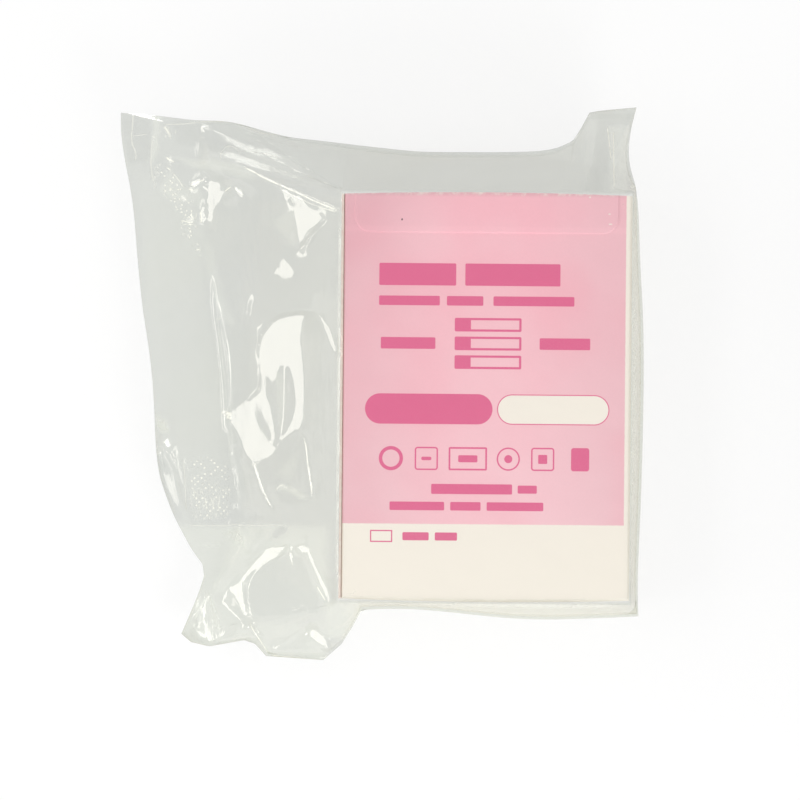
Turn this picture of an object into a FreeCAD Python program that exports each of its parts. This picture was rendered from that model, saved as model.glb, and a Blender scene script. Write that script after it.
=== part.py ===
"""A pack of microscope slides: a closed card carton sealed in a clear film bag.

The pack lies on its back with the carton's front panel up. X runs across the carton, Y along
it and Z up. The origin is the centre of the flat underside, below the middle of the carton.
All lengths are in millimetres.
"""
import FreeCAD, Part
import math
import os

from FreeCAD import Vector

# ---------------------------------------------------------------------------------------
# Driving dimensions
# ---------------------------------------------------------------------------------------

# Carton: fifty slides of 76 x 26 x 1 mm on edge, in folding boxboard
carton_width = 57.5         # over both side panels
carton_length = 80.0        # over both ends
carton_depth = 28.0         # front panel to back panel
board = 0.45                # thickness of the boxboard
fold_radius = 0.6           # outside of a folded edge
seam_gap = 0.12             # open crevice beside a raw edge
seam_depth = 0.7            # how far the crevice goes in
raw_edge_drop = 0.1         # the side panel's raw edge stops this far below the front panel
end_bow = 0.5               # the closed ends bulge by this much in the middle

# Tuck flap of the top end, which shows through the front panel as a low step
tuck_length = 7.3           # from the top edge to the flap's free edge
tuck_inset = 2.9            # from the carton's side to the flap's side
tuck_corner = 3.0           # radius of the flap's free corners
tuck_step = 0.25            # how far the front panel is pushed up over it
tuck_ramp = 0.9             # width of the slope beside the flap

# Film bag: two sheets of clear film, welded at the sides and crimped at the mouth
film = 0.15                 # thickness of one sheet
film_clearance = 0.2        # between the carton and the film at its front, sides and ends
weld_width = 0.7            # the bead that a side weld leaves
crimp_width = 10.0          # the embossed seal across the mouth
lip_width = 4.5             # plain film outside the crimp
mouth_reach = 36.7          # carton's left side to the edge of the lip
head_reach = 8.6            # carton's top end to the edge of the weld
foot_reach = 4.0            # carton's bottom end to the edge of the weld
side_reach = 2.6            # carton's right side to the edge of the weld
ring_shares = (0.25, 0.5, 0.75)   # where the fold lines bend, from carton edge to seal
fold_rise = 1.0             # rise of a fold whose own rise below is 1
rim_curl = 1.0              # curl of the rim where its own curl below is 1
fold_gain = 1.5             # a fold's rise is multiplied by this and by its share of the run
lower_sag = 1.4             # the lower sheet climbs to the seal with this power of the run
lower_fold = 0.3            # share of a fold's rise that shows in the lower sheet
crimp_curl = 0.3            # share of the rim's curl that reaches the crimp's outer edge
merge_reach = 1e-6          # points closer than this are one point

# Each fold line of the film runs from the carton's edge out to the rim of the bag. A row holds
#   the start on the carton's edge, across and along, as shares of its half width and length,
#   the run out to the rim, across and along, as shares of the reach on that side,
#   the height of the seal, as a share of the carton's depth,
#   the rise of the fold above a straight drape (a valley is negative), as a share of fold_rise,
#   the curl of the rim above the seal, as a share of rim_curl, and
#   the width of the seal there, as a share of crimp and lip (0 is a plain side weld).
folds = (
    # ear at the top right corner
    (1.00, 1.00, 0.31, 0.28, 0.50, 0.1, 0.0, 0.0),
    (0.93, 1.00, 0.65, 0.59, 0.50, 0.2, 0.0, 0.07),
    (0.86, 1.00, 1.23, 1.04, 0.50, -0.3, 0.0, 0.1),
    (0.79, 1.00, 2.17, 1.54, 0.50, 0.6, 0.4, 0.12),
    (0.72, 1.00, 3.38, 2.06, 0.52, -0.3, 1.5, 0.1),
    (0.69, 1.00, 0.88, 1.98, 0.51, 0.6, 1.0, 0.0),
    (0.66, 1.00, 0.46, 1.93, 0.50, -0.5, 0.8, 0.0),
    (0.62, 1.00, 0.15, 1.50, 0.48, 0.4, 0.3, 0.0),
    (0.57, 1.00, 0.19, 1.28, 0.46, -0.2, 0.0, 0.0),
    # weld along the top end
    (0.49, 1.00, 0.00, 1.11, 0.45, 0.3, 0.0, 0.0),
    (0.36, 1.00, 0.00, 1.03, 0.45, 0.6, 0.0, 0.0),
    (0.16, 1.00, 0.00, 1.01, 0.44, 0.8, 0.0, 0.0),
    (-0.05, 1.00, 0.00, 1.00, 0.44, 0.9, 0.0, 0.0),
    (-0.26, 1.00, 0.00, 1.00, 0.43, 0.8, 0.0, 0.0),
    (-0.46, 1.00, 0.00, 0.99, 0.43, 0.6, 0.0, 0.0),
    (-0.70, 1.00, 0.00, 1.07, 0.42, 0.5, 0.0, 0.0),
    (-0.84, 1.00, -0.07, 1.15, 0.41, -0.2, 0.0, 0.0),
    (-0.94, 1.00, -0.17, 1.24, 0.40, 0.6, 0.0, 0.0),
    # gathered film from the top left corner to the ear of the mouth
    (-1.00, 1.00, -0.31, 1.31, 0.38, -0.8, 0.0, 0.0),
    (-1.00, 1.00, -0.56, 1.62, 0.35, 1.0, 0.2, 0.0),
    (-1.00, 1.00, -0.67, 1.69, 0.34, -0.8, 0.3, 0.0),
    (-1.00, 1.00, -0.80, 1.67, 0.33, 0.8, 0.3, 0.1),
    (-1.00, 1.00, -0.97, 1.78, 0.32, -0.7, 1.0, 0.55),
    (-1.00, 1.00, -1.20, 1.84, 0.32, 1.1, 3.0, 1.15),
    (-1.00, 1.00, -1.20, 1.42, 0.30, -0.9, 2.6, 1.1),
    (-1.00, 1.00, -1.19, 1.07, 0.28, 0.8, 1.8, 1.05),
    (-1.00, 1.00, -1.17, 0.57, 0.27, -0.6, 1.0, 1.03),
    # crimped mouth along the left side
    (-1.00, 0.92, -1.13, 0.17, 0.26, 0.5, 0.5, 1.0),
    (-1.00, 0.72, -1.11, 0.00, 0.26, -0.4, 0.2, 1.0),
    (-1.00, 0.54, -1.09, 0.00, 0.27, 0.6, -0.4, 1.0),
    (-1.00, 0.39, -1.07, 0.00, 0.27, 1.2, -0.6, 1.0),
    (-1.00, 0.24, -1.04, 0.00, 0.28, 1.8, -0.5, 1.0),
    (-1.00, 0.02, -1.01, 0.00, 0.28, 1.6, 0.0, 1.0),
    (-1.00, -0.25, -1.00, 0.00, 0.27, 1.4, 0.5, 1.0),
    (-1.00, -0.40, -0.98, 0.00, 0.25, -0.6, 0.9, 1.0),
    (-1.00, -0.50, -0.94, 0.00, 0.24, 0.9, 1.0, 0.97),
    (-1.00, -0.60, -0.90, 0.00, 0.22, -0.8, 0.8, 0.9),
    (-1.00, -0.70, -0.84, 0.00, 0.20, 1.2, 0.5, 0.75),
    (-1.00, -0.77, -0.80, 0.00, 0.18, -0.6, 0.0, 0.5),
    (-1.00, -0.84, -0.74, 0.00, 0.18, 0.6, 0.0, 0.3),
    (-1.00, -0.90, -0.73, 0.00, 0.18, 0.8, 0.4, 0.2),
    # slack corner at the bottom left
    (-1.00, -0.96, -0.76, -0.30, 0.18, 0.5, 0.8, 0.15),
    (-1.00, -1.00, -0.81, -1.02, 0.18, 1.0, 1.2, 0.15),
    (-1.00, -1.00, -0.85, -1.88, 0.18, -0.6, 1.6, 0.15),
    (-1.00, -1.00, -0.80, -2.28, 0.18, 0.8, 1.6, 0.1),
    (-1.00, -1.00, -0.70, -2.50, 0.19, -0.5, 1.2, 0.1),
    (-1.00, -1.00, -0.51, -2.17, 0.20, 0.8, 0.5, 0.05),
    (-1.00, -1.00, -0.45, -2.35, 0.22, -0.6, 0.3, 0.0),
    (-1.00, -1.00, -0.39, -2.95, 0.24, 1.2, 0.4, 0.0),
    (-1.00, -1.00, -0.08, -3.12, 0.28, -0.5, 0.6, 0.0),
    # weld along the bottom end
    (-0.95, -1.00, -0.02, -2.31, 0.32, 0.8, 0.2, 0.0),
    (-0.90, -1.00, 0.00, -1.42, 0.36, 0.2, 0.0, 0.0),
    (-0.84, -1.00, 0.00, -0.60, 0.40, 0.2, 0.0, 0.0),
    (-0.57, -1.00, 0.00, -0.50, 0.42, 0.1, 0.0, 0.0),
    (-0.30, -1.00, 0.00, -0.62, 0.44, 0.2, 0.0, 0.0),
    (-0.03, -1.00, 0.00, -0.83, 0.45, 0.3, 0.0, 0.0),
    (0.25, -1.00, 0.00, -1.00, 0.46, 0.4, 0.0, 0.0),
    (0.53, -1.00, 0.00, -1.00, 0.47, 0.4, 0.0, 0.0),
    (0.87, -1.00, 0.00, -0.88, 0.48, 0.2, 0.0, 0.0),
    (1.00, -1.00, 0.77, -0.80, 0.50, 0.3, 0.0, 0.0),
    # weld along the right side
    (1.00, -0.90, 0.65, 0.00, 0.52, 0.1, 0.0, 0.0),
    (1.00, -0.60, 0.85, 0.00, 0.54, 0.2, 0.0, 0.0),
    (1.00, -0.20, 1.00, 0.00, 0.55, 0.3, 0.0, 0.0),
    (1.00, 0.31, 1.04, 0.00, 0.55, 0.3, 0.0, 0.0),
    (1.00, 0.58, 0.75, 0.00, 0.54, 0.2, 0.0, 0.0),
    (1.00, 0.78, 0.60, 0.00, 0.52, 0.1, 0.0, 0.0),
    (1.00, 0.93, 0.52, 0.00, 0.50, 0.1, 0.0, 0.0),
)

# ---------------------------------------------------------------------------------------
# Sizes that follow from them
# ---------------------------------------------------------------------------------------

half_width = carton_width / 2
half_length = carton_length / 2
carton_floor = film                                 # the carton lies on the lower sheet
carton_face = carton_floor + carton_depth
film_room_x = half_width + film_clearance           # inside of the film at the carton's edges
film_room_y = half_length + end_bow + film_clearance
film_room_top = carton_face + tuck_step + film_clearance


# ---------------------------------------------------------------------------------------
# Carton
# ---------------------------------------------------------------------------------------

def folded_section():
    """Section across the carton: three folds, and a raw edge at the front left corner."""
    left, right = -half_width, half_width
    low, high = carton_floor, carton_face
    edge = left + board                     # inner side of the side panel's raw edge
    wrap = edge + seam_gap                  # where the front panel turns in behind it
    r = fold_radius
    diagonal = r * math.sqrt(0.5)

    def at(x, z):
        return Vector(x, 0, z)

    def fold(start, centre_x, centre_z, side_x, side_z, end):
        middle = at(centre_x + side_x * diagonal, centre_z + side_z * diagonal)
        return Part.Arc(start, middle, end).toShape()

    def line(a, b):
        return Part.LineSegment(a, b).toShape()

    back_left = (at(left, low + r), at(left + r, low))
    back_right = (at(right - r, low), at(right, low + r))
    front_right = (at(right, high - r), at(right - r, high))
    front_left = (at(wrap + r, high), at(wrap, high - r))
    crevice = at(wrap, high - seam_depth)
    crevice_outer = at(edge, high - seam_depth)
    raw_inner = at(edge, high - raw_edge_drop)
    raw_outer = at(left, high - raw_edge_drop)
    edges = [
        fold(back_left[0], left + r, low + r, -1, -1, back_left[1]),
        line(back_left[1], back_right[0]),
        fold(back_right[0], right - r, low + r, 1, -1, back_right[1]),
        line(back_right[1], front_right[0]),
        fold(front_right[0], right - r, high - r, 1, 1, front_right[1]),
        line(front_right[1], front_left[0]),
        fold(front_left[0], wrap + r, high - r, -1, 1, front_left[1]),
        line(front_left[1], crevice),
        line(crevice, crevice_outer),
        line(crevice_outer, raw_inner),
        line(raw_inner, raw_outer),
        line(raw_outer, back_left[0]),
    ]
    return Part.Face(Part.Wire(edges))


def plan_prism(low, high):
    """Plan of the carton, with both closed ends bowed, drawn up between two heights."""
    top_left = Vector(-half_width, half_length, low)
    top_right = Vector(half_width, half_length, low)
    low_left = Vector(-half_width, -half_length, low)
    low_right = Vector(half_width, -half_length, low)
    outline = Part.Wire([
        Part.LineSegment(low_right, top_right).toShape(),
        Part.Arc(top_right, Vector(0, half_length + end_bow, low), top_left).toShape(),
        Part.LineSegment(top_left, low_left).toShape(),
        Part.Arc(low_left, Vector(0, -half_length - end_bow, low), low_right).toShape(),
    ])
    return Part.Face(outline).extrude(Vector(0, 0, high - low))


def hinge_folds(prism):
    """The bowed edges where the closing panels fold over: from the back panel at the top end
    and from the front panel at the bottom end."""
    edges = []
    for edge in prism.Edges:
        middle = edge.BoundBox.Center
        bowed = abs(middle.y) > half_length
        if bowed and edge.BoundBox.ZLength < board and (middle.y > 0) == (middle.z < carton_depth / 2):
            edges.append(edge)
    return edges


def tuck_outline(grow, z):
    """Outline of the tuck flap behind the front panel, grown by its ramp."""
    side = half_width - tuck_inset + grow
    free = half_length - tuck_length - grow
    top = half_length + 2 * end_bow
    r = tuck_corner + grow
    diagonal = r * (1 - math.sqrt(0.5))
    left_turn = Vector(-side + diagonal, free + diagonal, z)
    right_turn = Vector(side - diagonal, free + diagonal, z)
    return Part.Wire([
        Part.LineSegment(Vector(side, top, z), Vector(-side, top, z)).toShape(),
        Part.LineSegment(Vector(-side, top, z), Vector(-side, free + r, z)).toShape(),
        Part.Arc(Vector(-side, free + r, z), left_turn, Vector(-side + r, free, z)).toShape(),
        Part.LineSegment(Vector(-side + r, free, z), Vector(side - r, free, z)).toShape(),
        Part.Arc(Vector(side - r, free, z), right_turn, Vector(side, free + r, z)).toShape(),
        Part.LineSegment(Vector(side, free + r, z), Vector(side, top, z)).toShape(),
    ])


def end_seams(end):
    """Crevices round an end's closing panel. The top end (1) is hinged at the back panel and
    opens at the front; the bottom end (-1) is hinged at the front and opens at the back."""
    open_z = carton_face - board if end > 0 else carton_floor + board
    hinge_z = carton_floor + fold_radius if end > 0 else carton_face - fold_radius
    low_z = min(open_z, hinge_z)
    tall = abs(open_z - hinge_z)
    inner = half_length - seam_depth
    outer = half_length + 2 * end_bow
    y = inner if end > 0 else -outer
    cuts = [Part.makeBox(carton_width - 2 * board, outer - inner, seam_gap,
                         Vector(-half_width + board, y, open_z - seam_gap / 2))]
    for side in (-1, 1):
        x = side * (half_width - board) - seam_gap / 2
        cuts.append(Part.makeBox(seam_gap, outer - inner, tall, Vector(x, y, low_z)))
    return cuts


def make_carton():
    """The closed carton, full of slides, as one solid."""
    long_side = carton_length + 4 * end_bow
    section = folded_section()
    section.translate(Vector(0, -long_side / 2, 0))
    prism = plan_prism(carton_floor, carton_face)
    prism = prism.makeFillet(fold_radius, hinge_folds(prism))
    body = section.extrude(Vector(0, long_side, 0)).common(prism)
    step = Part.makeLoft([tuck_outline(tuck_ramp, carton_face - board),
                          tuck_outline(0, carton_face + tuck_step)], True)
    step = step.common(plan_prism(carton_face - board, carton_face + board))
    body = body.fuse(step)
    for end in (1, -1):
        body = body.cut(end_seams(end))
    return body.removeSplitter()


# ---------------------------------------------------------------------------------------
# Film bag
# ---------------------------------------------------------------------------------------

def rim_point(row):
    """Where a fold line meets the rim, in plan."""
    across, along, out_x, out_y = row[:4]
    reach_x = side_reach if out_x > 0 else mouth_reach
    reach_y = head_reach if out_y > 0 else foot_reach
    return Vector(across * half_width + out_x * reach_x, along * half_length + out_y * reach_y, 0)


def edge_ring(z, grow):
    """Where the fold lines start, round the carton's edge at one height."""
    ring = []
    for row in folds:
        across, along = row[:2]
        ring.append(Vector(across * (film_room_x + grow), along * (film_room_y + grow), z))
    return ring


def seal_rings():
    """Inner edge of the seal, outer edge of the crimp, and the rim, at mid thickness."""
    inner, middle, rim = [], [], []
    for row, start in zip(folds, edge_ring(0, film)):
        height, curl, share = row[4], row[6] * rim_curl, row[7]
        end = rim_point(row)
        run = end - start
        seal = max(weld_width, share * (crimp_width + lip_width))
        lip = seal * lip_width / (crimp_width + lip_width)
        out = Vector(run).normalize()
        z = carton_floor + height * carton_depth
        inner.append(end - out * seal + Vector(0, 0, z))
        middle.append(end - out * lip + Vector(0, 0, z + curl * crimp_curl))
        rim.append(end + Vector(0, 0, z + curl))
    return inner, middle, rim


def drape(starts, ends, side):
    """Rings between the carton's edge and the seal: upper sheet (1) or lower sheet (-1)."""
    rings = []
    for share in ring_shares:
        hump = fold_gain * share * math.sin(math.pi * share)
        ring = []
        for row, start, end in zip(folds, starts, ends):
            rise = row[5] * fold_rise * hump
            run = end - start
            if side > 0:
                level = math.hypot(run.x, run.y)
                square = Vector(-run.x * run.z / level, -run.y * run.z / level, level).normalize()
                ring.append(start + run * share + square * rise)
            else:
                sag = run.z * (share ** lower_sag - share)
                ring.append(start + run * share + Vector(0, 0, sag + lower_fold * rise))
        rings.append(ring)
    return rings


def same(a, b):
    """Whether two points are one point."""
    return (a - b).Length < merge_reach


def facets(lower, upper):
    """Triangles of the strip between two rings: for each, its points and their ring places."""
    strip = []
    for i in range(len(lower)):
        j = (i + 1) % len(lower)
        for places in (((lower, i), (upper, i), (upper, j)), ((lower, i), (upper, j), (lower, j))):
            a, b, c = [ring[k] for ring, k in places]
            if not (same(a, b) or same(b, c) or same(c, a)):
                strip.append(((a, b, c), places))
    return strip


def thicken(rings, side):
    """The inner rings of a chain moved outwards by one film thickness, square to their facets."""
    normals = {}
    for lower, upper in zip(rings, rings[1:]):
        for (a, b, c), places in facets(lower, upper):
            normal = (b - a).cross(c - a).normalize() * side
            for ring, k in places:
                normals.setdefault((id(ring), k), []).append(normal)
    moved = []
    for ring in rings[1:-1]:
        row = []
        for k, point in enumerate(ring):
            around = normals[(id(ring), k)]
            mean = sum(around, Vector(0, 0, 0)) * (1 / len(around))
            row.append(point + mean * (film / mean.dot(mean)))
        moved.append(row)
    return moved


def panel(points):
    """Flat face inside a ring that may name one corner several times."""
    corners = [points[0]]
    for point in points[1:] + points[:1]:
        if not same(point, corners[-1]):
            corners.append(point)
    return Part.Face(Part.makePolygon(corners))


def closed_skin(rings):
    """Closed skin over a chain of rings, with a flat panel at each end."""
    faces = [panel(rings[0]), panel(rings[-1])]
    for lower, upper in zip(rings, rings[1:]):
        for (a, b, c), _ in facets(lower, upper):
            faces.append(Part.Face(Part.makePolygon([a, b, c, a])))
    skin = Part.makeShell(faces)
    skin.sewShape()
    if Part.makeSolid(skin).Volume < 0:
        skin.reverse()
    return skin


def make_film_bag():
    """The sealed bag: one thin wall of film round the carton, doubled in its seals."""
    seal, crimp, rim = seal_rings()
    up = Vector(0, 0, film)
    top_start = edge_ring(film_room_top, 0)
    low_start = edge_ring(film, 0)
    top_rings = drape(top_start, seal, 1)
    low_rings = drape(low_start, seal, -1)
    inside = closed_skin([top_start] + top_rings + [seal] + low_rings[::-1] + [low_start])
    top_skin = thicken([top_start] + top_rings + [seal, crimp], 1)
    low_skin = thicken([low_start] + low_rings + [seal, crimp], -1)
    outside = closed_skin(
        [edge_ring(film_room_top + film, film)] + top_skin
        + [[p + up for p in crimp], [p + up for p in rim]]
        + [[p - up for p in rim], [p - up for p in crimp]]
        + low_skin[::-1] + [edge_ring(0, film)])
    return Part.makeSolid(Part.makeCompound([outside, inside.reversed()]))


# ---------------------------------------------------------------------------------------
# Output
# ---------------------------------------------------------------------------------------

def main():
    """Write one STEP file for each piece."""
    os.makedirs("parts", exist_ok=True)
    for name, make in (("carton", make_carton), ("film_bag", make_film_bag)):
        shape = make()
        print(name, shape.ShapeType, "valid", shape.isValid(), "solids", len(shape.Solids),
              "faces", len(shape.Faces), "volume", round(shape.Volume, 1))
        shape.Solids[0].exportStep(f"parts/{name}.step")


main()
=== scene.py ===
"""The looks of a pack of microscope slides: a printed card carton sealed in a clear film bag.

The pack lies on its back on a pale floor, with the carton's front panel up. Everything is in
metres, in the frame of the CAD model: X across the carton, Y along it, Z up.
"""
import math

import bmesh
import bpy
import numpy as np
from bpy.props import FloatProperty, FloatVectorProperty, IntProperty, PointerProperty
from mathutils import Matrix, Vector
from mathutils.bvhtree import BVHTree


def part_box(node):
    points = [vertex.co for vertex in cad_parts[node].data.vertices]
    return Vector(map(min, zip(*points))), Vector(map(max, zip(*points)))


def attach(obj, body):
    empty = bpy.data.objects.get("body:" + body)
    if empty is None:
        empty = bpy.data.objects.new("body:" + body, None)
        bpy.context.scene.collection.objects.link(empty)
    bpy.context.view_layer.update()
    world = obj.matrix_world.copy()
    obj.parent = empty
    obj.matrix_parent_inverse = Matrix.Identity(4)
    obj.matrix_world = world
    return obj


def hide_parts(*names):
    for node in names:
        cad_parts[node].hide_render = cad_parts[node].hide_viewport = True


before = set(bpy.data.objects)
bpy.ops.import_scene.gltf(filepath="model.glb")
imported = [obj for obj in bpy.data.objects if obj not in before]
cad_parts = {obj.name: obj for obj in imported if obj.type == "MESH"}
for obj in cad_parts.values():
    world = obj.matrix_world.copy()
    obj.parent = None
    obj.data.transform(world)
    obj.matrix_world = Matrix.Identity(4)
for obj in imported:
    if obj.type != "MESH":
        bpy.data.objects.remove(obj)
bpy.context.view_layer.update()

bl_info = {
    "name": "Slide Pack Looks",
    "version": (1, 0, 0),
    "blender": (4, 5, 0),
    "location": "View3D > Sidebar > Slide Pack",
    "description": "Printed carton, clear film bag and studio for a pack of microscope slides",
    "category": "Object",
}

MM = 0.001
CARTON_LOW, CARTON_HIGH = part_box("carton")
BAG_LOW, BAG_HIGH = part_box("film_bag")
FACE = CARTON_HIGH.z                     # the carton's front panel, over its tuck flap


def linear(red, green, blue):
    """A colour written as 0 to 255 on a screen, as Blender's linear colour."""
    return tuple(((c / 255 + 0.055) / 1.055) ** 2.4 if c > 10 else c / 3294.6
                 for c in (red, green, blue)) + (1.0,)


# ---------------------------------------------------------------------------------------
# Settings
# ---------------------------------------------------------------------------------------

def colour_setting(name, description, default):
    """A colour to choose."""
    return FloatVectorProperty(name=name, description=description, subtype="COLOR", size=4,
                               min=0, max=1, default=default)


def length_setting(name, description, default, least, most):
    """A length to choose, in metres."""
    return FloatProperty(name=name, description=description, unit="LENGTH",
                         min=least, max=most, default=default)


def power_setting(name, description, default):
    """A lamp's power to choose, in watts."""
    return FloatProperty(name=name, description=description, unit="POWER",
                         min=0, max=100, default=default)


class CartonSettings(bpy.types.PropertyGroup):
    """Colours and print of the carton."""
    field_colour: colour_setting(
        "Colour Field", "Large printed field on the front panel", linear(243, 187, 198))
    ink_colour: colour_setting(
        "Ink", "Printed bars and shapes", linear(228, 88, 142))
    card_colour: colour_setting(
        "Card", "Unprinted white face of the board", linear(250, 244, 233))
    raw_board_colour: colour_setting(
        "Raw Board", "Cut edge of the board", linear(243, 229, 217))
    field_foot: length_setting(
        "White Band", "Height of the unprinted band at the bottom end", 15.3 * MM, 0, 0.05)
    field_margin: length_setting(
        "Right Margin", "Unprinted strip beside the right-hand fold", 1.15 * MM, 0, 0.01)


class FilmSettings(bpy.types.PropertyGroup):
    """Colours and folds of the film bag."""
    film_colour: colour_setting(
        "Film", "What a layer of loose film lets through", (0.865, 0.876, 0.868, 1))
    taut_colour: colour_setting(
        "Taut Film", "What a layer of film lying on the carton lets through",
        (0.985, 0.985, 0.98, 1))
    haze_colour: colour_setting(
        "Haze", "Colour of the light that the film scatters", linear(236, 238, 226))
    detail: IntProperty(
        name="Detail", description="Subdivisions before the folds are shaped",
        min=1, max=3, default=3)


class StageSettings(bpy.types.PropertyGroup):
    """Floor, lamps and camera."""
    floor_colour: colour_setting(
        "Floor", "Colour of the floor", (0.97, 0.97, 0.97, 1))
    shadow_share: FloatProperty(
        name="Shadow", description="How much of the floor's shading shows on its white",
        subtype="FACTOR", min=0, max=1, default=0.28)
    sky_strength: FloatProperty(
        name="Sky", description="Strength of the even light from all round",
        min=0, max=2, default=0.66)
    left_lamp: power_setting(
        "Left Lamp", "Power of the low soft lamp on the left", 1.35)
    high_lamp: power_setting(
        "High Lamp", "Power of the soft lamp high on the left", 0.58)
    right_lamp: power_setting(
        "Right Lamp", "Power of the soft lamp on the right", 1.9)
    view_width: length_setting(
        "View Width", "Width of the view at the carton's front panel", 158.1 * MM, 0.05, 1)
    camera_height: length_setting(
        "Camera Height", "Camera above the front panel", 4.0, 0.3, 8)
    camera_roll: FloatProperty(
        name="Camera Roll", description="Turn of the camera about its line of sight",
        unit="ROTATION", min=-0.2, max=0.2, default=math.radians(0.5))


# ---------------------------------------------------------------------------------------
# Node building
# ---------------------------------------------------------------------------------------

class Tree:
    """A node tree being filled. Values given to a node are numbers, vectors or outputs."""

    def __init__(self, nodes_tree):
        self.tree = nodes_tree

    def node(self, kind, values=None, **settings):
        made = self.tree.nodes.new(kind)
        for name, setting in settings.items():
            setattr(made, name, setting)
        for name, value in (values or {}).items():
            self.put(made.inputs[name], value)
        return made

    def put(self, socket, value):
        if isinstance(value, bpy.types.NodeSocket):
            self.tree.links.new(value, socket)
        else:
            socket.default_value = value

    def math(self, operation, *values, clamp=False):
        made = self.node("ShaderNodeMath", operation=operation, use_clamp=clamp)
        for socket, value in zip(made.inputs, values):
            self.put(socket, value)
        return made.outputs[0]

    def vector(self, operation, *values):
        made = self.node("ShaderNodeVectorMath", operation=operation)
        for socket, value in zip(made.inputs, values):
            self.put(socket, value)
        return made.outputs["Value" if operation in ("LENGTH", "DOT_PRODUCT") else "Vector"]

    def times(self, *values):
        """The product of several numbers."""
        found = values[0]
        for value in values[1:]:
            found = self.math("MULTIPLY", found, value)
        return found

    def apart(self, value):
        """The X, Y and Z of a vector."""
        return self.node("ShaderNodeSeparateXYZ", {"Vector": value}).outputs

    def told(self, name):
        """What the mesh tells the material in a named attribute."""
        return self.node("ShaderNodeAttribute", attribute_name=name).outputs["Fac"]

    def scaled(self, value, by):
        made = self.node("ShaderNodeVectorMath", operation="SCALE")
        self.put(made.inputs[0], value)
        self.put(made.inputs["Scale"], by)
        return made.outputs["Vector"]

    def ramp(self, value, start, end, low=0.0, high=1.0, smooth=True):
        """value from start to end, as low to high."""
        kind = "SMOOTHSTEP" if smooth else "LINEAR"
        made = self.node("ShaderNodeMapRange", interpolation_type=kind)
        for socket, put in zip(made.inputs, (value, start, end, low, high)):
            self.put(socket, put)
        return made.outputs["Result"]

    def mix(self, share, first, second):
        made = self.node("ShaderNodeMix", data_type="RGBA")
        self.put(made.inputs[0], share)
        self.put(made.inputs[6], first)
        self.put(made.inputs[7], second)
        return made.outputs[2]

    def shaders(self, share, first, second):
        """Two shaders mixed, by the share of the second."""
        made = self.node("ShaderNodeMixShader", {0: share})
        self.put(made.inputs[1], first)
        self.put(made.inputs[2], second)
        return made.outputs[0]

    def noise(self, position, scale, detail=3.0, roughness=0.5):
        values = {"Vector": position, "Scale": scale, "Detail": detail, "Roughness": roughness}
        return self.node("ShaderNodeTexNoise", values).outputs["Fac"]

    def most(self, masks):
        """The highest of several masks."""
        found = masks[0]
        for mask in masks[1:]:
            found = self.math("MAXIMUM", found, mask)
        return found

    def group(self, made, values):
        """An instance of a shared effect."""
        holder = self.node("ShaderNodeGroup")
        holder.node_tree = made
        for name, value in values.items():
            self.put(holder.inputs[name], value)
        return holder.outputs[0]


def effect(name, inputs, output):
    """An empty shader node group with named sockets: (tree, its input node, its output node)."""
    made = bpy.data.node_groups.new(name, "ShaderNodeTree")
    for label, kind, default in inputs:
        socket = made.interface.new_socket(label, in_out="INPUT", socket_type=kind)
        if default is not None:
            socket.default_value = default
    made.interface.new_socket(output, in_out="OUTPUT", socket_type="NodeSocketFloat")
    return made, made.nodes.new("NodeGroupInput"), made.nodes.new("NodeGroupOutput")


def material(name):
    """A new material: (material, tree, its output node, object coordinates in millimetres)."""
    made = bpy.data.materials.new(name)
    made.use_nodes = True
    made.node_tree.nodes.clear()
    tree = Tree(made.node_tree)
    place = tree.node("ShaderNodeTexCoord").outputs["Object"]
    return made, tree, tree.node("ShaderNodeOutputMaterial"), tree.scaled(place, 1 / MM)


def placed(name, data):
    """A new object with some data, in the scene."""
    made = bpy.data.objects.new(name, data)
    bpy.context.scene.collection.objects.link(made)
    return made


def finished_mesh(bm, name):
    """A new mesh from one that was being edited."""
    mesh = bpy.data.meshes.new(name)
    bm.to_mesh(mesh)
    bm.free()
    return mesh


NUMBER = "NodeSocketFloat"
VECTOR = "NodeSocketVector"
SOFT_RIM = 0.05                          # mm over which the rim of a printed shape fades


def printed_shape():
    """Effect: a filled or outlined rounded box, seen from above. Sizes are in millimetres."""
    made, given, result = effect("Printed Shape", (
        ("Position", VECTOR, None), ("Centre", VECTOR, (0, 0, 0)),
        ("Half Size", VECTOR, (1, 1, 0)), ("Corner", NUMBER, 0.2), ("Line", NUMBER, 0.0)), "Mask")
    tree = Tree(made)
    place, centre, half, corner, line = given.outputs[:5]
    flat = tree.vector("MULTIPLY", tree.vector("SUBTRACT", place, centre), (1, 1, 0))
    inner = tree.vector("SUBTRACT", half, tree.node(
        "ShaderNodeCombineXYZ", {"X": corner, "Y": corner}).outputs[0])
    beyond = tree.vector("SUBTRACT", tree.vector("ABSOLUTE", flat), inner)
    apart = tree.apart(beyond)
    outside = tree.vector("LENGTH", tree.vector(
        "MULTIPLY", tree.vector("MAXIMUM", beyond, (0, 0, 0)), (1, 1, 0)))
    inside = tree.math("MINIMUM", tree.math("MAXIMUM", apart[0], apart[1]), 0.0)
    distance = tree.math("SUBTRACT", tree.math("ADD", outside, inside), corner)
    filled = tree.ramp(distance, SOFT_RIM, -SOFT_RIM)
    half_line = tree.math("MULTIPLY", line, 0.5)
    stroke = tree.math("SUBTRACT", tree.math("ABSOLUTE", tree.math(
        "ADD", distance, half_line)), half_line)
    lined = tree.ramp(stroke, SOFT_RIM, -SOFT_RIM)
    outlined = tree.math("GREATER_THAN", line, 0.001)
    solid = tree.math("SUBTRACT", 1.0, outlined)
    mask = tree.math("ADD", tree.times(lined, outlined), tree.times(filled, solid))
    tree.put(result.inputs[0], mask)
    return made


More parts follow.
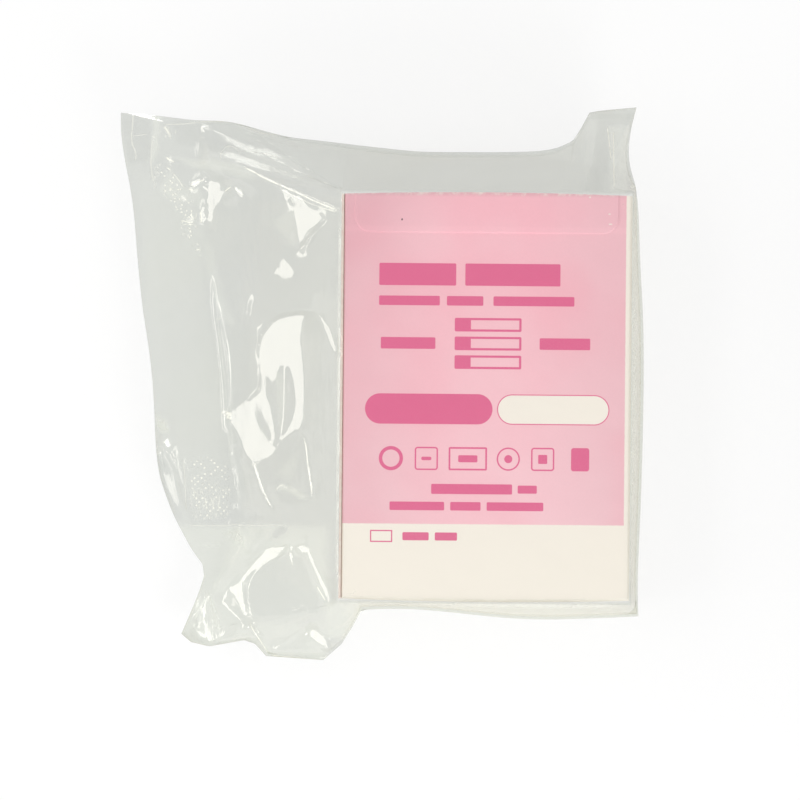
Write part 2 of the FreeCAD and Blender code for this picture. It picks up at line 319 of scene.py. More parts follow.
def fold_wear():
    """Effect: rubbed folds of a box, from how near a place is to two faces at once."""
    made, given, result = effect("Fold Wear", (
        ("Position", VECTOR, None), ("Centre", VECTOR, (0, 0, 0)),
        ("Half Size", VECTOR, (1, 1, 1)), ("Reach", NUMBER, 1.0)), "Mask")
    tree = Tree(made)
    place, centre, half, reach = given.outputs[:4]
    depth = tree.vector("SUBTRACT", half, tree.vector(
        "ABSOLUTE", tree.vector("SUBTRACT", place, centre)))
    apart = tree.apart(depth)
    least = tree.math("MINIMUM", tree.math("MINIMUM", apart[0], apart[1]), apart[2])
    most = tree.math("MAXIMUM", tree.math("MAXIMUM", apart[0], apart[1]), apart[2])
    total = tree.math("ADD", tree.math("ADD", apart[0], apart[1]), apart[2])
    second = tree.math("SUBTRACT", tree.math("SUBTRACT", total, least), most)
    rubbed = tree.ramp(second, reach, 0.0)
    patchy = tree.ramp(tree.noise(place, 0.9, 5.0, 0.65), 0.42, 0.66)
    tree.put(result.inputs[0], tree.times(rubbed, patchy))
    return made


# ---------------------------------------------------------------------------------------
# Carton
# ---------------------------------------------------------------------------------------

# Filled bars of generic print: centre across and along, half width and half height, in mm
BARS = (
    (-13.6, 24.2, 7.6, 2.2), (5.2, 24.2, 9.4, 2.2),
    (-15.2, 19.0, 6.0, 0.95), (-4.2, 19.0, 3.6, 0.95), (9.4, 19.0, 8.0, 0.95),
    (-15.4, 10.6, 5.4, 1.15), (15.6, 10.6, 5.0, 1.15),
    (-2.6, -18.2, 8.0, 1.0), (8.4, -18.2, 1.9, 0.8),
    (-13.4, -21.6, 5.4, 0.85), (-3.8, -21.6, 3.0, 0.85), (6.0, -21.6, 5.6, 0.85),
    (-13.6, -27.6, 2.6, 0.8), (-7.6, -27.6, 2.2, 0.8),
)

# Simple signs: centre across and along, half width and half height, corner and line, in mm
SIGNS = (
    (-18.6, -12.2, 2.4, 2.4, 2.4, 0.7), (-11.6, -12.2, 2.3, 2.3, 0.6, 0.3),
    (-3.4, -12.2, 3.8, 2.3, 0.3, 0.35), (4.6, -12.2, 2.3, 2.3, 2.3, 0.3),
    (11.4, -12.2, 2.3, 2.3, 0.6, 0.3), (18.8, -12.2, 1.8, 2.3, 0.5),
    (-3.4, -12.2, 1.9, 0.7), (4.6, -12.2, 0.8, 0.8, 0.8),
    (11.4, -12.2, 0.9, 0.9, 0.2), (-11.6, -12.2, 1.0, 0.35, 0.3),
    (-20.4, -27.6, 2.2, 1.2, 0.1, 0.25),
)

# Small stack of slides, each with its frosted end: the lowest one's place, and the step up, in mm
STACK = (0.4, 6.9)
STACK_STEP = 3.7

# Small white spots near the upper corner, painted highlights of the film's wrinkles: across, along
# and half width, in mm
PAINTED_GLINTS = ((20.3, 39.7, 0.2), (24.2, 36.4, 0.22), (24.4, 34.4, 0.34), (28.0, 37.2, 0.2))
SPECK = (-16.8, 35.0, 0)                 # a dark speck of the print, in mm
FLAP_EDGE = 33.1                         # how far along the tuck flap's edge shows, in mm
CUT_EDGE = 0.62                          # width of the cut edge on the left, in mm


def print_masks(tree, place, shape):
    """Masks of the generic print on the front panel: (ink, left white)."""
    def box(x, y, half_x, half_y, corner=0.25, line=0.0):
        return tree.group(shape, {
            "Position": place, "Centre": (x, y, 0), "Half Size": (half_x, half_y, 0),
            "Corner": corner, "Line": line})

    stack = []
    for step in range(3):
        rise = STACK[1] + STACK_STEP * step
        stack.append(box(STACK[0], rise, 6.6, 1.35, 0.3, 0.45))
        stack.append(box(STACK[0] - 5.0, rise, 1.6, 1.35, 0.3))
    band = box(-11.2, -2.4, 12.6, 3.0, 3.0)
    pale = box(13.4, -2.4, 11.0, 2.9, 2.9)
    pale_line = box(13.4, -2.4, 11.1, 3.0, 3.0, 0.2)
    bars = [box(*bar) for bar in BARS]
    signs = [box(*sign) for sign in SIGNS]
    return tree.most(bars + stack + [band] + signs + [pale_line]), pale


def printed_field_and_shade(tree, place, at, grain, colour):
    """Colour of the printed field: uneven ink, with painted light and shade of the bowed panel."""
    mottle = tree.noise(place, 0.06, 2.0, 0.4)
    # painted light and shade of the bowed panel: paler along its middle and over the tuck flap's
    # edge, and darker towards its upper left corner, its left side and its upper edge
    beside = tree.math("ABSOLUTE", tree.math("SUBTRACT", at[0], 0.5))
    off_flap = tree.math("ABSOLUTE", tree.math("SUBTRACT", at[1], FLAP_EDGE))
    to_corner = tree.math("SUBTRACT", at[1], at[0])
    painted_shading = tree.times(
        tree.ramp(beside, 5, 27, 1.09, 1.015), tree.ramp(at[0], -27, -14, 0.985, 1.0),
        tree.ramp(to_corner, 38, 66, 1.0, 0.94), tree.ramp(off_flap, 0.2, 1.0, 1.03, 1.0),
        tree.ramp(at[1], 39.4, 40.2, 1.0, 0.9))
    return tree.node("ShaderNodeHueSaturation", {
        "Saturation": tree.times(tree.ramp(mottle, 0.3, 0.7, 0.93, 1.07),
                                 tree.ramp(at[1], -25, 20, 0.88, 1.0)),
        "Value": tree.times(painted_shading, tree.ramp(grain, 0.2, 0.8, 0.985, 1.015)),
        "Color": colour}).outputs[0]


def carton_material(settings):
    """Printed folding boxboard with a soft sheen."""
    made, tree, output, place = material("printed_boxboard")
    at = tree.apart(place)
    face, left, right = FACE / MM, CARTON_LOW.x / MM, CARTON_HIGH.x / MM
    foot = CARTON_LOW.y / MM + settings.field_foot / MM
    front = tree.ramp(at[2], face - 0.95, face - 0.75)
    wavy = tree.times(tree.math("SUBTRACT", tree.noise(place, 1.3, 4.0), 0.5), 0.12)
    edge_x = right - settings.field_margin / MM
    field = tree.times(
        tree.ramp(tree.math("ADD", at[0], wavy), edge_x, edge_x - 0.12),
        tree.ramp(tree.math("ADD", at[1], wavy), foot, foot + 0.12), front)
    raw = tree.times(tree.ramp(at[0], left + CUT_EDGE, left + CUT_EDGE - 0.07),
                     tree.ramp(at[2], face - 1.4, face - 1.0))

    shape = printed_shape()
    ink, pale = (tree.times(mask, front) for mask in print_masks(tree, place, shape))
    grain = tree.noise(place, 2.2, 5.0, 0.7)
    pink = printed_field_and_shade(tree, place, at, grain, tuple(settings.field_colour))
    card = tree.mix(tree.times(field, tree.math("SUBTRACT", 1.0, pale)),
                    tuple(settings.card_colour), pink)
    speckle = tree.ramp(tree.noise(place, 7.0, 2.0), 0.3, 0.45, 0.8, 1.0)
    card = tree.mix(tree.times(ink, tree.times(speckle, 0.96)),
                    card, tuple(settings.ink_colour))
    fibre = tree.noise(tree.vector("MULTIPLY", place, (3.0, 0.6, 3.0)), 1.6, 4.0)
    fibre = tree.ramp(fibre, 0.35, 0.7)
    cut = tree.mix(fibre, tuple(settings.raw_board_colour), linear(238, 213, 205))
    card = tree.mix(raw, card, cut)
    wear = tree.group(fold_wear(), {
        "Position": place, "Centre": tuple((CARTON_LOW + CARTON_HIGH) / 2 / MM),
        "Half Size": tuple((CARTON_HIGH - CARTON_LOW) / 2 / MM), "Reach": 1.0})
    card = tree.mix(tree.times(wear, 0.7), card, tuple(settings.card_colour))
    speck = tree.group(shape, {"Position": place, "Centre": SPECK,
                               "Half Size": (0.14, 0.2, 0), "Corner": 0.14, "Line": 0.0})
    card = tree.mix(speck, card, linear(70, 50, 60))
    # painted highlights of the film's wrinkles, laid on in the card's white
    painted_glints = tree.most([tree.group(shape, {
        "Position": place, "Centre": (x, y, 0), "Half Size": (half, 0.12, 0), "Corner": 0.1,
        "Line": 0.0}) for x, y, half in PAINTED_GLINTS])
    card = tree.mix(tree.times(painted_glints, 0.8), card, tuple(settings.card_colour))

    paper = tree.noise(tree.vector("MULTIPLY", place, (1.0, 0.7, 1.0)), 3.0, 6.0, 0.62)
    warp = tree.noise(place, 0.11, 2.0)
    height = tree.math("ADD", tree.times(paper, 0.012), tree.times(warp, 0.5))
    bump = tree.node("ShaderNodeBump", {"Strength": 0.6, "Distance": MM, "Height": height})
    shader = tree.node("ShaderNodeBsdfPrincipled", {
        "Base Color": card, "Roughness": tree.ramp(grain, 0.2, 0.8, 0.42, 0.56),
        "Normal": bump.outputs[0]})
    tree.put(output.inputs[0], shader.outputs[0])
    return made


# ---------------------------------------------------------------------------------------
# Film bag
# ---------------------------------------------------------------------------------------

def smooth(value, start, end):
    """0 at start, 1 at end, smooth between them."""
    share = min(max((value - start) / (end - start), 0.0), 1.0)
    return share * share * (3 - 2 * share)


def outer_skin():
    """The bag's outside as a mesh being edited: quads along its fold lines, in metres."""
    bm = bmesh.new()
    bm.from_mesh(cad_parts["film_bag"].data)
    bmesh.ops.remove_doubles(bm, verts=bm.verts, dist=1e-6)
    lowest = min(bm.verts, key=lambda vert: vert.co.z)
    outside, waiting = {lowest}, [lowest]
    while waiting:
        vert = waiting.pop()
        for edge in vert.link_edges:
            other = edge.other_vert(vert)
            if other not in outside:
                outside.add(other)
                waiting.append(other)
    inside = [vert for vert in bm.verts if vert not in outside]
    bmesh.ops.delete(bm, geom=inside, context="VERTS")
    bm.normal_update()
    for level, way in ((BAG_HIGH.z, 1), (BAG_LOW.z, -1)):
        flat = [f for f in bm.faces
                if f.normal.z * way > 0.9999 and abs(f.calc_center_median().z - level) < 1e-5]
        bmesh.ops.dissolve_faces(bm, faces=flat)
    triangles = [f for f in bm.faces if len(f.verts) == 3]
    bmesh.ops.join_triangles(
        bm, faces=triangles, angle_face_threshold=math.pi, angle_shape_threshold=math.pi)
    return bm


PANEL_CELL = 7 * MM                      # of the film that lies flat on the carton


def grid_panels(bm, step):
    """Cuts the flat panels over and under the carton into cells."""
    for way in (1, -1):
        for axis in (0, 1):
            low, high = CARTON_LOW[axis], CARTON_HIGH[axis]
            cuts = round((high - low) / step)
            for k in range(1, cuts):
                place, normal = Vector((0, 0, 0)), Vector((0, 0, 0))
                place[axis] = low + (high - low) * k / cuts
                normal[axis] = 1
                bm.normal_update()
                flat = [f for f in bm.faces if f.normal.z * way > 0.9999
                        and abs(f.calc_center_median().x) < CARTON_HIGH.x
                        and abs(f.calc_center_median().y) < CARTON_HIGH.y]
                edges = {e for f in flat for e in f.edges}
                verts = {v for f in flat for v in f.verts}
                bmesh.ops.bisect_plane(bm, geom=list(verts) + list(edges) + flat,
                                       dist=1e-5, plane_co=place, plane_no=normal)


ROUND_FOLD, CRISP_FOLD = 16, 32          # degrees: folds that stay round, and that stay crisp


def crease_sharp_edges(bm):
    """Keeps the carton's edges, the rim and the strongest folds crisp when it is subdivided."""
    creases = bm.edges.layers.float.new("crease_edge")
    corners = bm.verts.layers.float.new("crease_vert")
    for edge in bm.edges:
        if len(edge.link_faces) == 2:
            angle = math.degrees(edge.calc_face_angle(0.0))
            edge[creases] = smooth(angle, ROUND_FOLD, CRISP_FOLD)
    for vert in bm.verts:
        if vert.co.z in (BAG_LOW.z, BAG_HIGH.z) or abs(vert.co.z - BAG_HIGH.z) < 1e-6:
            beyond = min(abs(vert.co.x) / CARTON_HIGH.x, abs(vert.co.y) / CARTON_HIGH.y)
            if beyond > 0.999:
                vert[corners] = 1.0


def subdivided(mesh, levels):
    """A copy of a mesh after smooth subdivision."""
    holder = placed("holder", mesh)
    modifier = holder.modifiers.new("smooth", "SUBSURF")
    modifier.levels = modifier.render_levels = levels
    modifier.boundary_smooth = "PRESERVE_CORNERS"
    graph = bpy.context.evaluated_depsgraph_get()
    made = bpy.data.meshes.new_from_object(holder.evaluated_get(graph))
    bpy.data.objects.remove(holder)
    return made


def refine_near(bm, lines, reach):
    """Halves the faces of the upper sheet that lie within reach of some lines, in mm."""
    faces = [face for face in bm.faces if face.normal.z > 0.02]
    places = np.array([face.calc_center_median() for face in faces]) / MM
    nearest = np.full(len(faces), 1e9)
    for line in lines:
        low, high = np.min(line, axis=0) - reach, np.max(line, axis=0) + reach
        near = ((places[:, :2] > low) & (places[:, :2] < high)).all(axis=1)
        apart = np.abs(beside_line(places[near, 0], places[near, 1], line)[0])
        nearest[near] = np.minimum(nearest[near], apart)
    edges = {edge for face, apart in zip(faces, nearest) if apart < reach for edge in face.edges}
    bmesh.ops.subdivide_edges(bm, edges=list(edges), cuts=1, use_grid_fill=True)
    bm.normal_update()


def wall_gap(bm):
    """For each vertex, how far the opposite sheet is, straight above or below it."""
    bm.normal_update()
    tree = BVHTree.FromBMesh(bm)
    gaps = {}
    for vert in bm.verts:
        way = -1 if vert.normal.z > 0 else 1
        start = vert.co + Vector((0, 0, way * 1e-5))
        hit, _, _, distance = tree.ray_cast(start, Vector((0, 0, way)))
        gaps[vert.index] = distance if hit is not None else 0.0
    return gaps


def beside_line(x, y, points):
    """For arrays of places in plan: distance from a line of points, negative on its right, and
    the share of the line that is gone there."""
    total = sum(math.dist(a, b) for a, b in zip(points, points[1:]))
    nearest, side, along, gone = np.full(x.shape, 1e9), np.ones(x.shape), np.zeros(x.shape), 0.0
    for (ax, ay), (bx, by) in zip(points, points[1:]):
        dx, dy, length = bx - ax, by - ay, math.dist((ax, ay), (bx, by))
        share = np.clip(((x - ax) * dx + (y - ay) * dy) / length ** 2, 0, 1)
        apart = np.hypot(x - ax - share * dx, y - ay - share * dy)
        closer = apart < nearest
        nearest = np.where(closer, apart, nearest)
        side = np.where(closer, np.sign(dx * (y - ay) - dy * (x - ax)), side)
        along = np.where(closer, (gone + share * length) / total, along)
        gone += length
    return nearest * side, along


def depth_inside(x, y, points):
    """For arrays of places in plan: how far inside a closed outline, negative outside it."""
    inside = np.zeros(x.shape, bool)
    for (ax, ay), (bx, by) in zip(points, points[1:] + points[:1]):
        if ay != by:
            inside ^= ((ay > y) != (by > y)) & (x < ax + (bx - ax) * (y - ay) / (by - ay))
    nearest = np.abs(beside_line(x, y, points + points[:1])[0])
    return np.where(inside, nearest, -nearest)


SHEET_STEP = 0.25                        # mm between places where the relaxed sheet is worked out
RELAX_STEPS = 6000                       # steps in which it is worked out, at most
SHARP_ANGLE = math.radians(24)           # edges that turn more aren't rounded in shading
LEFT_GLINT = 0.59                        # slope that mirrors the left lamp up to the camera
HIGH_GLINT = 0.25                        # slope that mirrors the high lamp up to the camera
SEAL_HOLD = 60.0                         # how much stiffer the welded film is than loose film
LIT_HOLD = 3000.0                        # how much stiffer a facet is that keeps its slope
SEAL_FACET_HOLD = 60.0                   # how much stiffer one is than the weld it lies in
CREASE_HOLD = 300.0                      # how much stiffer a crease is than the film round it
BESIDE_HOLD = 30.0                       # stiffness added to the loose film close to a weld
WELDED_GAP, LOOSE_GAP = 0.6, 1.2         # mm between the sheets where a weld is full, and ends
NEAR_GAP, FREE_GAP = 2.5, 4.5            # the same for the film held by a weld beside it
JOINED_GAP, PARTED_GAP = 0.6, 2.6        # the same for a lower sheet that moves with the upper
STEEP = 0.3                              # a steeper facet spares the welded film, unless it is lit
CLEARANCE = 0.3                          # mm that the upper sheet keeps above the lower one
WIDE_MARK = 0.25                         # half width in mm from which a line needs no finer mesh
FINE_REACH, FINEST_REACH = 0.9, 0.3      # mm round a line or facet where the mesh is finer
WIDE_REACH = 2.5                         # mm round a wide line that the material is told of
FARTHEST = 9.0                           # half widths from a line, the most that are told

# Facets that the loose upper sheet has crumpled into: slope across (rising towards the carton)
# and along, softness of the outline in mm, how much stiffer it is than the film round it, and
# the outline in mm
FACETS = (
    # steeper film round the long bent facet: over it, left of it, inside it and below it
    (0.8, 0.3, 0.3, 200, (
        (-45.1, 13.3), (-44.0, 14.9), (-41.7, 16.2), (-38.8, 16.9), (-34.8, 16.8), (-34.4, 19.9),
        (-38.8, 20.8), (-44.7, 20.3), (-46.7, 17.8), (-46.4, 14.3))),
    (0.95, 0.0, 0.3, 80, (
        (-51.6, -2.6), (-49.7, -1.9), (-46.8, -0.5), (-45.2, 1.1), (-44.6, 4.0), (-45.2, 8.4),
        (-45.1, 11.9), (-45.7, 14.3), (-47.4, 15.2), (-53.2, 12.3), (-52.7, 7.9), (-52.0, 1.9))),
    (1.05, 0.0, 0.3, 60, (
        (-45.8, -13.6), (-41.5, -11.1), (-40.4, -9.5), (-39.1, -8.3), (-37.0, -7.4),
        (-36.0, -7.8), (-35.3, -11.0), (-34.3, -19.4), (-38.5, -18.2), (-40.5, -17.7),
        (-42.2, -21.7), (-44.4, -17.3))),
    # film between the seal and the long bent facet, and beside the carton's upper corner
    (1.0, 0.05, 1.0, 40, (
        (-54.4, 24.0), (-49.5, 24.0), (-47.0, 19.5), (-47.6, 15.0), (-50.0, 12.0), (-53.2, 12.0))),
    (0.95, 0.0, 0.8, 150, (
        (-32.4, 37.0), (-28.8, 36.0), (-28.8, 28.0), (-32.5, 28.0), (-36.3, 29.2), (-34.4, 32.4),
        (-31.9, 34.6))),
    # smoother film on both sides of the ridge from the carton's upper corner to the ear
    (0.14, -1.08, 1.0, 100, (
        (-56.3, 53.0), (-49.3, 52.6), (-37.9, 49.2), (-29.4, 41.2), (-28.7, 38.1), (-29.0, 36.7),
        (-40.7, 41.7), (-48.8, 45.6), (-52.0, 47.5), (-56.0, 48.5))),
    (0.8, 0.2, 1.0, 100, (
        (-56.0, 48.5), (-52.0, 47.5), (-48.8, 45.5), (-40.7, 41.5), (-29.1, 36.4), (-30.2, 34.7),
        (-37.8, 38.0), (-43.5, 40.3), (-49.2, 42.7), (-55.1, 44.1))),
    # smoother film round the pouch
    (0.5, 1.42, 1.5, 30, (
        (-46.2, -42.8), (-30.9, -41.5), (-30.6, -46.6), (-32.0, -50.0), (-37.6, -51.5),
        (-41.6, -51.1), (-45.3, -45.9))),
    (0.85, 0.1, 1.2, 60, (
        (-61.0, -47.5), (-56.6, -39.0), (-51.3, -41.7), (-47.9, -44.5), (-48.9, -48.5),
        (-57.0, -50.5))),
    (0.85, 0.0, 1.0, 150, (
        (-47.0, -38.8), (-45.8, -35.5), (-42.0, -33.2), (-39.2, -31.6), (-35.8, -32.2),
        (-34.4, -36.5), (-32.6, -40.2), (-32.8, -43.2), (-44.5, -43.8), (-46.8, -42.2))),
    (0.95, 0.3, 0.6, 30, (
        (-46.8, -32.3), (-43.8, -28.9), (-39.0, -27.9), (-35.6, -28.1), (-34.4, -29.8),
        (-36.8, -29.5), (-38.9, -29.6), (-42.0, -29.9), (-43.7, -30.3), (-46.5, -33.6))),
    # the long bent facet and the leaf on its left, with a steeper hollow
    (LEFT_GLINT, 0.0, 0.3, LIT_HOLD, (
        (-44.4, 1.7), (-44.5, 3.5), (-44.7, 5.4), (-45.0, 7.9), (-44.9, 9.6), (-44.4, 11.4),
        (-43.6, 12.6), (-42.8, 13.9), (-41.5, 14.9), (-39.8, 15.5), (-37.3, 15.9), (-35.7, 15.8),
        (-36.2, 15.0), (-36.5, 13.4), (-36.6, 10.9), (-36.4, 8.0), (-36.1, 5.5), (-35.9, 3.0),
        (-35.8, 0.1), (-35.9, -2.4), (-36.0, -4.4), (-36.5, -6.1), (-37.0, -7.0), (-38.1, -7.4),
        (-39.3, -8.1), (-40.3, -9.0), (-41.2, -9.9), (-41.5, -10.2), (-41.5, -9.5),
        (-40.5, -8.4), (-39.4, -7.3), (-38.6, -6.1), (-38.0, -4.6), (-37.6, -2.9), (-37.5, -0.9),
        (-37.8, 1.1), (-38.0, 2.5), (-38.3, 4.0), (-38.7, 5.2), (-39.2, 5.8), (-40.2, 5.8),
        (-41.1, 5.2), (-41.4, 4.2), (-41.4, 3.5), (-42.0, 2.6), (-42.4, 2.4), (-42.7, 3.2),
        (-43.4, 3.6), (-43.7, 3.5), (-43.7, 2.0), (-43.5, 0.3))),
    (LEFT_GLINT, 0.0, 0.3, LIT_HOLD, (
        (-44.4, 1.7), (-43.5, 0.4), (-43.0, -1.0), (-42.4, -2.7), (-42.0, -4.9), (-41.7, -7.4),
        (-41.6, -10.1), (-42.5, -10.8), (-43.4, -11.6), (-45.5, -11.3), (-47.8, -10.5),
        (-48.0, -9.9), (-48.4, -8.7), (-49.2, -7.4), (-50.4, -6.0), (-50.7, -5.6),
        (-50.7, -3.1), (-49.2, -2.4), (-47.5, -1.6), (-46.3, -0.7), (-44.8, 0.8))),
    (0.85, 0.0, 0.3, 1500, (
        (-45.3, -3.6), (-44.3, -3.7), (-43.5, -4.9), (-42.6, -6.9), (-42.1, -8.8), (-43.0, -8.4),
        (-44.4, -6.9), (-45.4, -5.4), (-45.7, -4.2))),
    (LEFT_GLINT, 0.1, 0.3, LIT_HOLD, (
        (-48.0, -10.9), (-46.5, -10.5), (-44.5, -11.1), (-43.0, -11.3), (-41.5, -10.3),
        (-42.0, -11.6), (-43.2, -12.2), (-45.0, -12.9), (-46.0, -13.3), (-47.2, -11.9))),
    # the hollow of the long facet, steeper on its left
    (0.95, 0.0, 0.3, 800, (
        (-43.6, 2.0), (-43.4, 3.5), (-42.8, 3.2), (-42.4, 2.4), (-41.8, 2.7), (-41.3, 3.6),
        (-41.2, 5.0), (-40.6, 5.6), (-40.0, 5.7), (-39.9, 1.0), (-40.1, -4.0), (-40.8, -8.5),
        (-41.5, -9.4), (-41.7, -7.4), (-42.0, -4.9), (-42.4, -2.7), (-43.0, -1.0), (-43.5, 0.3))),
    (0.33, 0.0, 0.3, 800, (
        (-39.9, 5.7), (-39.2, 5.7), (-38.7, 5.1), (-38.4, 4.0), (-38.1, 2.5), (-37.9, 1.1),
        (-37.6, -0.9), (-37.7, -2.9), (-38.1, -4.6), (-38.7, -6.1), (-39.5, -7.3), (-40.7, -8.5),
        (-40.1, -4.0), (-39.8, 1.0))),
    # a sliver beside the carton
    (LEFT_GLINT, 0.0, 0.3, LIT_HOLD, (
        (-33.4, 15.9), (-32.7, 15.5), (-31.7, 14.5), (-31.0, 13.5), (-30.3, 11.5), (-29.8, 10.3),
        (-29.7, 8.4), (-30.4, 9.6), (-31.4, 11.9), (-32.0, 13.0), (-32.4, 14.5))),
    # facets near the carton's upper corner
    (LEFT_GLINT, 0.0, 0.4, LIT_HOLD, (
        (-38.3, 37.5), (-37.5, 36.9), (-36.6, 36.6), (-36.8, 38.3), (-36.4, 38.6), (-35.8, 37.9),
        (-35.0, 36.9), (-33.9, 36.5), (-32.8, 35.7), (-32.4, 35.2), (-33.1, 34.1), (-34.2, 33.3),
        (-35.1, 32.7), (-35.8, 31.6), (-36.4, 30.5), (-36.9, 29.9), (-37.3, 30.1), (-37.2, 30.8),
        (-37.5, 31.6), (-37.7, 33.0), (-37.8, 34.9), (-37.8, 36.1))),
    (LEFT_GLINT, 0.0, 0.3, LIT_HOLD, (
        (-40.3, 40.0), (-40.0, 40.5), (-39.4, 40.4), (-39.0, 39.7), (-39.1, 39.0), (-39.7, 38.6),
        (-40.2, 39.1))),
    (LEFT_GLINT, 0.0, 0.4, LIT_HOLD, (
        (-39.9, 26.9), (-39.3, 26.0), (-38.7, 25.6), (-38.1, 24.2), (-38.6, 23.8), (-40.5, 23.8),
        (-42.1, 24.2), (-41.7, 24.9), (-40.1, 24.9), (-39.8, 25.6))),
    # crumpled film at the upper end of the seal
    (LEFT_GLINT, 0.0, 0.25, LIT_HOLD, (
        (-55.4, 42.5), (-53.1, 42.1), (-52.7, 41.6), (-53.3, 41.0), (-53.2, 40.5), (-51.9, 40.4),
        (-53.5, 37.8), (-55.0, 35.7), (-56.2, 34.2), (-56.4, 34.5), (-55.4, 35.8), (-55.2, 36.3),
        (-55.4, 36.7), (-56.2, 36.9), (-56.5, 36.5), (-56.3, 34.5), (-56.6, 34.2), (-56.9, 36.5),
        (-56.0, 37.7), (-55.5, 39.0), (-55.1, 40.4))),
    (LEFT_GLINT, 0.0, 0.25, LIT_HOLD, (
        (-59.1, 41.9), (-57.6, 42.5), (-56.1, 42.9), (-56.5, 42.3), (-57.6, 41.7), (-58.5, 41.4))),
    (HIGH_GLINT, 0.0, 0.3, SEAL_FACET_HOLD, (
        (-63.8, 47.1), (-63.3, 47.1), (-62.3, 46.2), (-62.5, 45.8), (-63.0, 46.1), (-63.6, 46.6))),
    (HIGH_GLINT, 0.0, 0.3, SEAL_FACET_HOLD, (
        (-59.3, 41.1), (-58.8, 41.3), (-58.3, 40.8), (-58.5, 40.4), (-59.2, 40.5))),
    (HIGH_GLINT, 0.0, 0.3, SEAL_FACET_HOLD, (
        (-60.5, 34.7), (-59.7, 34.6), (-59.0, 35.3), (-58.9, 36.4), (-58.4, 36.5), (-57.8, 35.2),
        (-57.9, 34.5), (-58.7, 34.0), (-59.3, 34.3))),
    (HIGH_GLINT, 0.0, 0.3, SEAL_FACET_HOLD, (
        (-61.3, 39.5), (-60.4, 39.5), (-59.7, 39.1), (-59.4, 38.4), (-60.2, 38.6), (-61.0, 38.9))),
    # lip of the mouth: two long ridges, each with a lit and a hidden flank
    (HIGH_GLINT, 0.0, 0.2, SEAL_FACET_HOLD, (
        (-65.2, -11.5), (-63.7, -11.5), (-62.7, -13.0), (-61.8, -14.7), (-61.2, -16.9),
        (-60.8, -19.4), (-60.1, -21.4), (-59.2, -22.8), (-58.7, -23.6), (-60.2, -23.4),
        (-61.6, -22.1), (-62.7, -19.9), (-63.8, -17.2), (-64.7, -14.5))),
    (-1.2, 0.0, 0.2, SEAL_FACET_HOLD, (
        (-63.7, -11.5), (-63.1, -11.5), (-62.0, -13.5), (-61.3, -15.0), (-60.6, -17.2),
        (-60.1, -19.4), (-59.5, -21.4), (-58.7, -22.8), (-58.7, -23.6), (-59.2, -22.8),
        (-60.1, -21.4), (-60.8, -19.4), (-61.2, -16.9), (-61.8, -14.7), (-62.7, -13.0))),
    (HIGH_GLINT, 0.0, 0.2, SEAL_FACET_HOLD, (
        (-62.1, -10.6), (-61.5, -10.5), (-61.0, -12.0), (-60.4, -14.0), (-59.7, -15.9),
        (-59.4, -18.4), (-59.3, -21.4), (-60.0, -19.9), (-60.6, -17.4), (-61.2, -14.5))),
    (-0.6, 0.0, 0.2, SEAL_FACET_HOLD, (
        (-61.5, -11.2), (-61.2, -11.6), (-60.2, -13.2), (-59.3, -15.9), (-59.0, -21.4),
        (-59.3, -21.4), (-59.4, -18.4), (-59.7, -15.9), (-60.4, -14.0), (-61.0, -12.0))),
    # smooth film beside the lip and at the tip of the leaf
    (0.08, 0.0, 0.6, 30, (
        (-61.2, -8.5), (-60.8, -1.0), (-51.9, 0.0), (-51.7, -8.5), (-51.3, -11.5),
        (-56.0, -12.5), (-56.2, -16.5), (-58.6, -18.5), (-59.1, -15.9), (-60.0, -13.2),
        (-61.0, -11.5))),
    (HIGH_GLINT, 0.0, 0.3, SEAL_FACET_HOLD, (
        (-50.9, -16.1), (-50.3, -15.6), (-49.6, -15.6), (-49.1, -17.3), (-49.2, -18.0),
        (-50.2, -17.8), (-50.4, -17.1))),
    # pouch of film below the carton's left corner
    (LEFT_GLINT, 0.0, 0.3, LIT_HOLD, (
        (-39.0, -29.9), (-40.6, -30.2), (-42.0, -30.3), (-43.3, -30.7), (-44.1, -31.6),
        (-45.2, -32.7), (-46.3, -34.0), (-47.2, -35.2), (-47.9, -36.2), (-48.3, -36.9),
        (-47.6, -36.9), (-47.1, -36.1), (-46.2, -35.2), (-45.0, -34.2), (-43.3, -33.3),
        (-41.9, -32.5), (-40.8, -31.8), (-40.0, -30.9))),
    (LEFT_GLINT, 0.0, 0.3, LIT_HOLD, (
        (-50.6, -38.6), (-49.3, -38.0), (-48.4, -36.9), (-47.8, -36.8), (-47.9, -38.0),
        (-47.8, -39.1), (-47.5, -40.5), (-47.2, -41.7), (-47.1, -42.8), (-47.5, -43.6),
        (-48.1, -42.5), (-48.7, -41.1), (-49.3, -39.9), (-50.1, -39.1))),
    (LEFT_GLINT, 0.0, 0.3, LIT_HOLD, (
        (-36.9, -29.9), (-36.1, -29.8), (-35.3, -30.1), (-34.4, -30.5), (-35.0, -30.9),
        (-36.1, -31.0), (-36.7, -30.6))),
    (LEFT_GLINT, 0.0, 0.3, LIT_HOLD, (
        (-35.0, -31.1), (-34.5, -30.8), (-33.6, -32.9), (-32.7, -34.7), (-31.8, -36.5),
        (-30.9, -38.4), (-30.2, -40.2), (-30.6, -40.9), (-31.6, -38.8), (-32.5, -36.9),
        (-33.3, -35.1), (-34.2, -33.3))),
    (LEFT_GLINT, 0.0, 0.3, LIT_HOLD, (
        (-34.6, -46.7), (-33.9, -46.3), (-33.1, -46.6), (-31.9, -47.7), (-31.0, -48.8),
        (-30.3, -49.8), (-30.9, -50.1), (-32.0, -49.5), (-33.2, -48.7), (-34.3, -47.6))),
)

